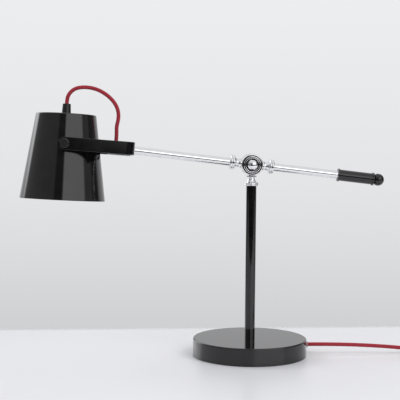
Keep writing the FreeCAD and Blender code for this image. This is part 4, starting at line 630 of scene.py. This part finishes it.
def room_ramp(value, stops, smooth):
    """Colours of the room along a value from 0 to 1."""
    ramp = tree.nodes.new("ShaderNodeValToRGB")
    ramp.color_ramp.interpolation = smooth
    tree.links.new(value, ramp.inputs["Fac"])
    for number, (position, grey) in enumerate(stops):
        if number < 2:
            stop = ramp.color_ramp.elements[number]
            stop.position = position
        else:
            stop = ramp.color_ramp.elements.new(position)
        stop.color = (grey, grey * 1.004, grey * 1.02, 1.0)
    return ramp.outputs["Color"]


def room_glow(colour, strength):
    """Part of the room that shines with this colour."""
    glow = tree.nodes.new("ShaderNodeBackground")
    glow.inputs["Strength"].default_value = strength
    if hasattr(colour, "node"):
        tree.links.new(colour, glow.inputs["Color"])
    else:
        glow.inputs["Color"].default_value = colour
    return glow.outputs["Background"]


def room_range(value, low, high):
    """Share of the way from low to high."""
    spread = tree.nodes.new("ShaderNodeMapRange")
    spread.inputs["From Min"].default_value = low
    spread.inputs["From Max"].default_value = high
    tree.links.new(value, spread.inputs["Value"])
    return spread.outputs["Result"]


def room_mix(share, first, second):
    """First part of the room where share is 0, second where it is 1."""
    mixed = tree.nodes.new("ShaderNodeMixShader")
    tree.links.new(share, mixed.inputs["Fac"])
    tree.links.new(first, mixed.inputs[1])
    tree.links.new(second, mixed.inputs[2])
    return mixed.outputs["Shader"]


wall = room_glow(room_ramp(room_range(split.outputs["Z"], -0.2, 0.1), [
    (0.0, 0.61), (1.0, 0.86), (0.067, 0.631), (0.143, 0.665), (0.277, 0.723), (0.434, 0.776), (0.92, 0.847)],
    "LINEAR"), 1.0)
round_the_room = tree.nodes.new("ShaderNodeTexGradient")
round_the_room.gradient_type = "RADIAL"
tree.links.new(sight.outputs["Generated"], round_the_room.inputs["Vector"])
boxes = room_glow(room_ramp(round_the_room.outputs["Fac"], [
    (0.0, 0.09), (1.0, 0.09), (0.18, 0.08), (0.195, 0.02), (0.25, 0.02), (0.262, 0.4), (0.425, 0.37),
    (0.44, 0.08), (0.5, 0.075), (0.512, 0.02), (0.6, 0.03), (0.7, 0.17), (0.775, 0.17), (0.785, 0.04),
    (0.8, 0.04), (0.815, 0.58), (0.9, 0.58), (0.915, 0.1)], "LINEAR"), 4.0)
low_room = room_glow(room_ramp(round_the_room.outputs["Fac"], [
    (0.0, 0.008), (1.0, 0.008), (0.3, 0.003), (0.34, 0.02), (0.42, 0.02), (0.44, 0.004), (0.565, 0.01),
    (0.6, 0.17), (0.8, 0.17), (0.815, 0.2), (0.9, 0.2), (0.915, 0.01)], "LINEAR"), 4.0)
ceiling = room_glow((0.8, 0.805, 0.82, 1.0), 1.0)
mirrored = room_mix(room_range(split.outputs["Z"], 0.07, 0.13), low_room,
                    room_mix(room_range(split.outputs["Z"], 0.5, 0.75), boxes, ceiling))
even_light = room_glow((0.98, 0.985, 1.0, 1.0), 0.62)
path = tree.nodes.new("ShaderNodeLightPath")
seen = tree.nodes.new("ShaderNodeMath")
seen.operation = "MAXIMUM"
tree.links.new(path.outputs["Is Glossy Ray"], seen.inputs[0])
tree.links.new(path.outputs["Is Transmission Ray"], seen.inputs[1])
lit = room_mix(seen.outputs["Value"], even_light, mirrored)
all_round = room_mix(path.outputs["Is Camera Ray"], lit, wall)
ending = tree.nodes.new("ShaderNodeOutputWorld")
tree.links.new(all_round, ending.inputs["Surface"])

for name, spot, width, power in (("soft_box_right", (0.9, -1.2, 1.5), 1.3, 17.0),
                                 ("soft_box_left", (-1.3, 0.7, 1.3), 0.9, 9.0)):
    lamp = bpy.data.lights.new(name, "AREA")
    lamp.size = width
    lamp.energy = power
    box = bpy.data.objects.new(name, lamp)
    box.location = spot
    box.rotation_mode = "QUATERNION"
    box.rotation_quaternion = (Vector((-0.05, 0.0, 0.15)) - Vector(spot)).to_track_quat("-Z", "Y")
    box.visible_glossy = False
    bpy.context.scene.collection.objects.link(box)


# ---------------------------------------------------------------- camera
# Long lens at about two metres, a little above the lamp and a little to the left of its post.

eye = Vector((-0.2528, -1.94515, 0.40864))
aim = Vector((-0.08087, 0.0, 0.24713))
lens = bpy.data.cameras.new("camera")
lens.lens = 112.5
lens.sensor_width = 36.0
camera = bpy.data.objects.new("camera", lens)
camera.location = eye
camera.rotation_mode = "QUATERNION"
camera.rotation_quaternion = (aim - eye).to_track_quat("-Z", "Y") @ Quaternion((0.0, 0.0, 1.0), radians(0.46))
bpy.context.scene.collection.objects.link(camera)
bpy.context.scene.camera = camera
bpy.context.scene.view_settings.view_transform = "Standard"
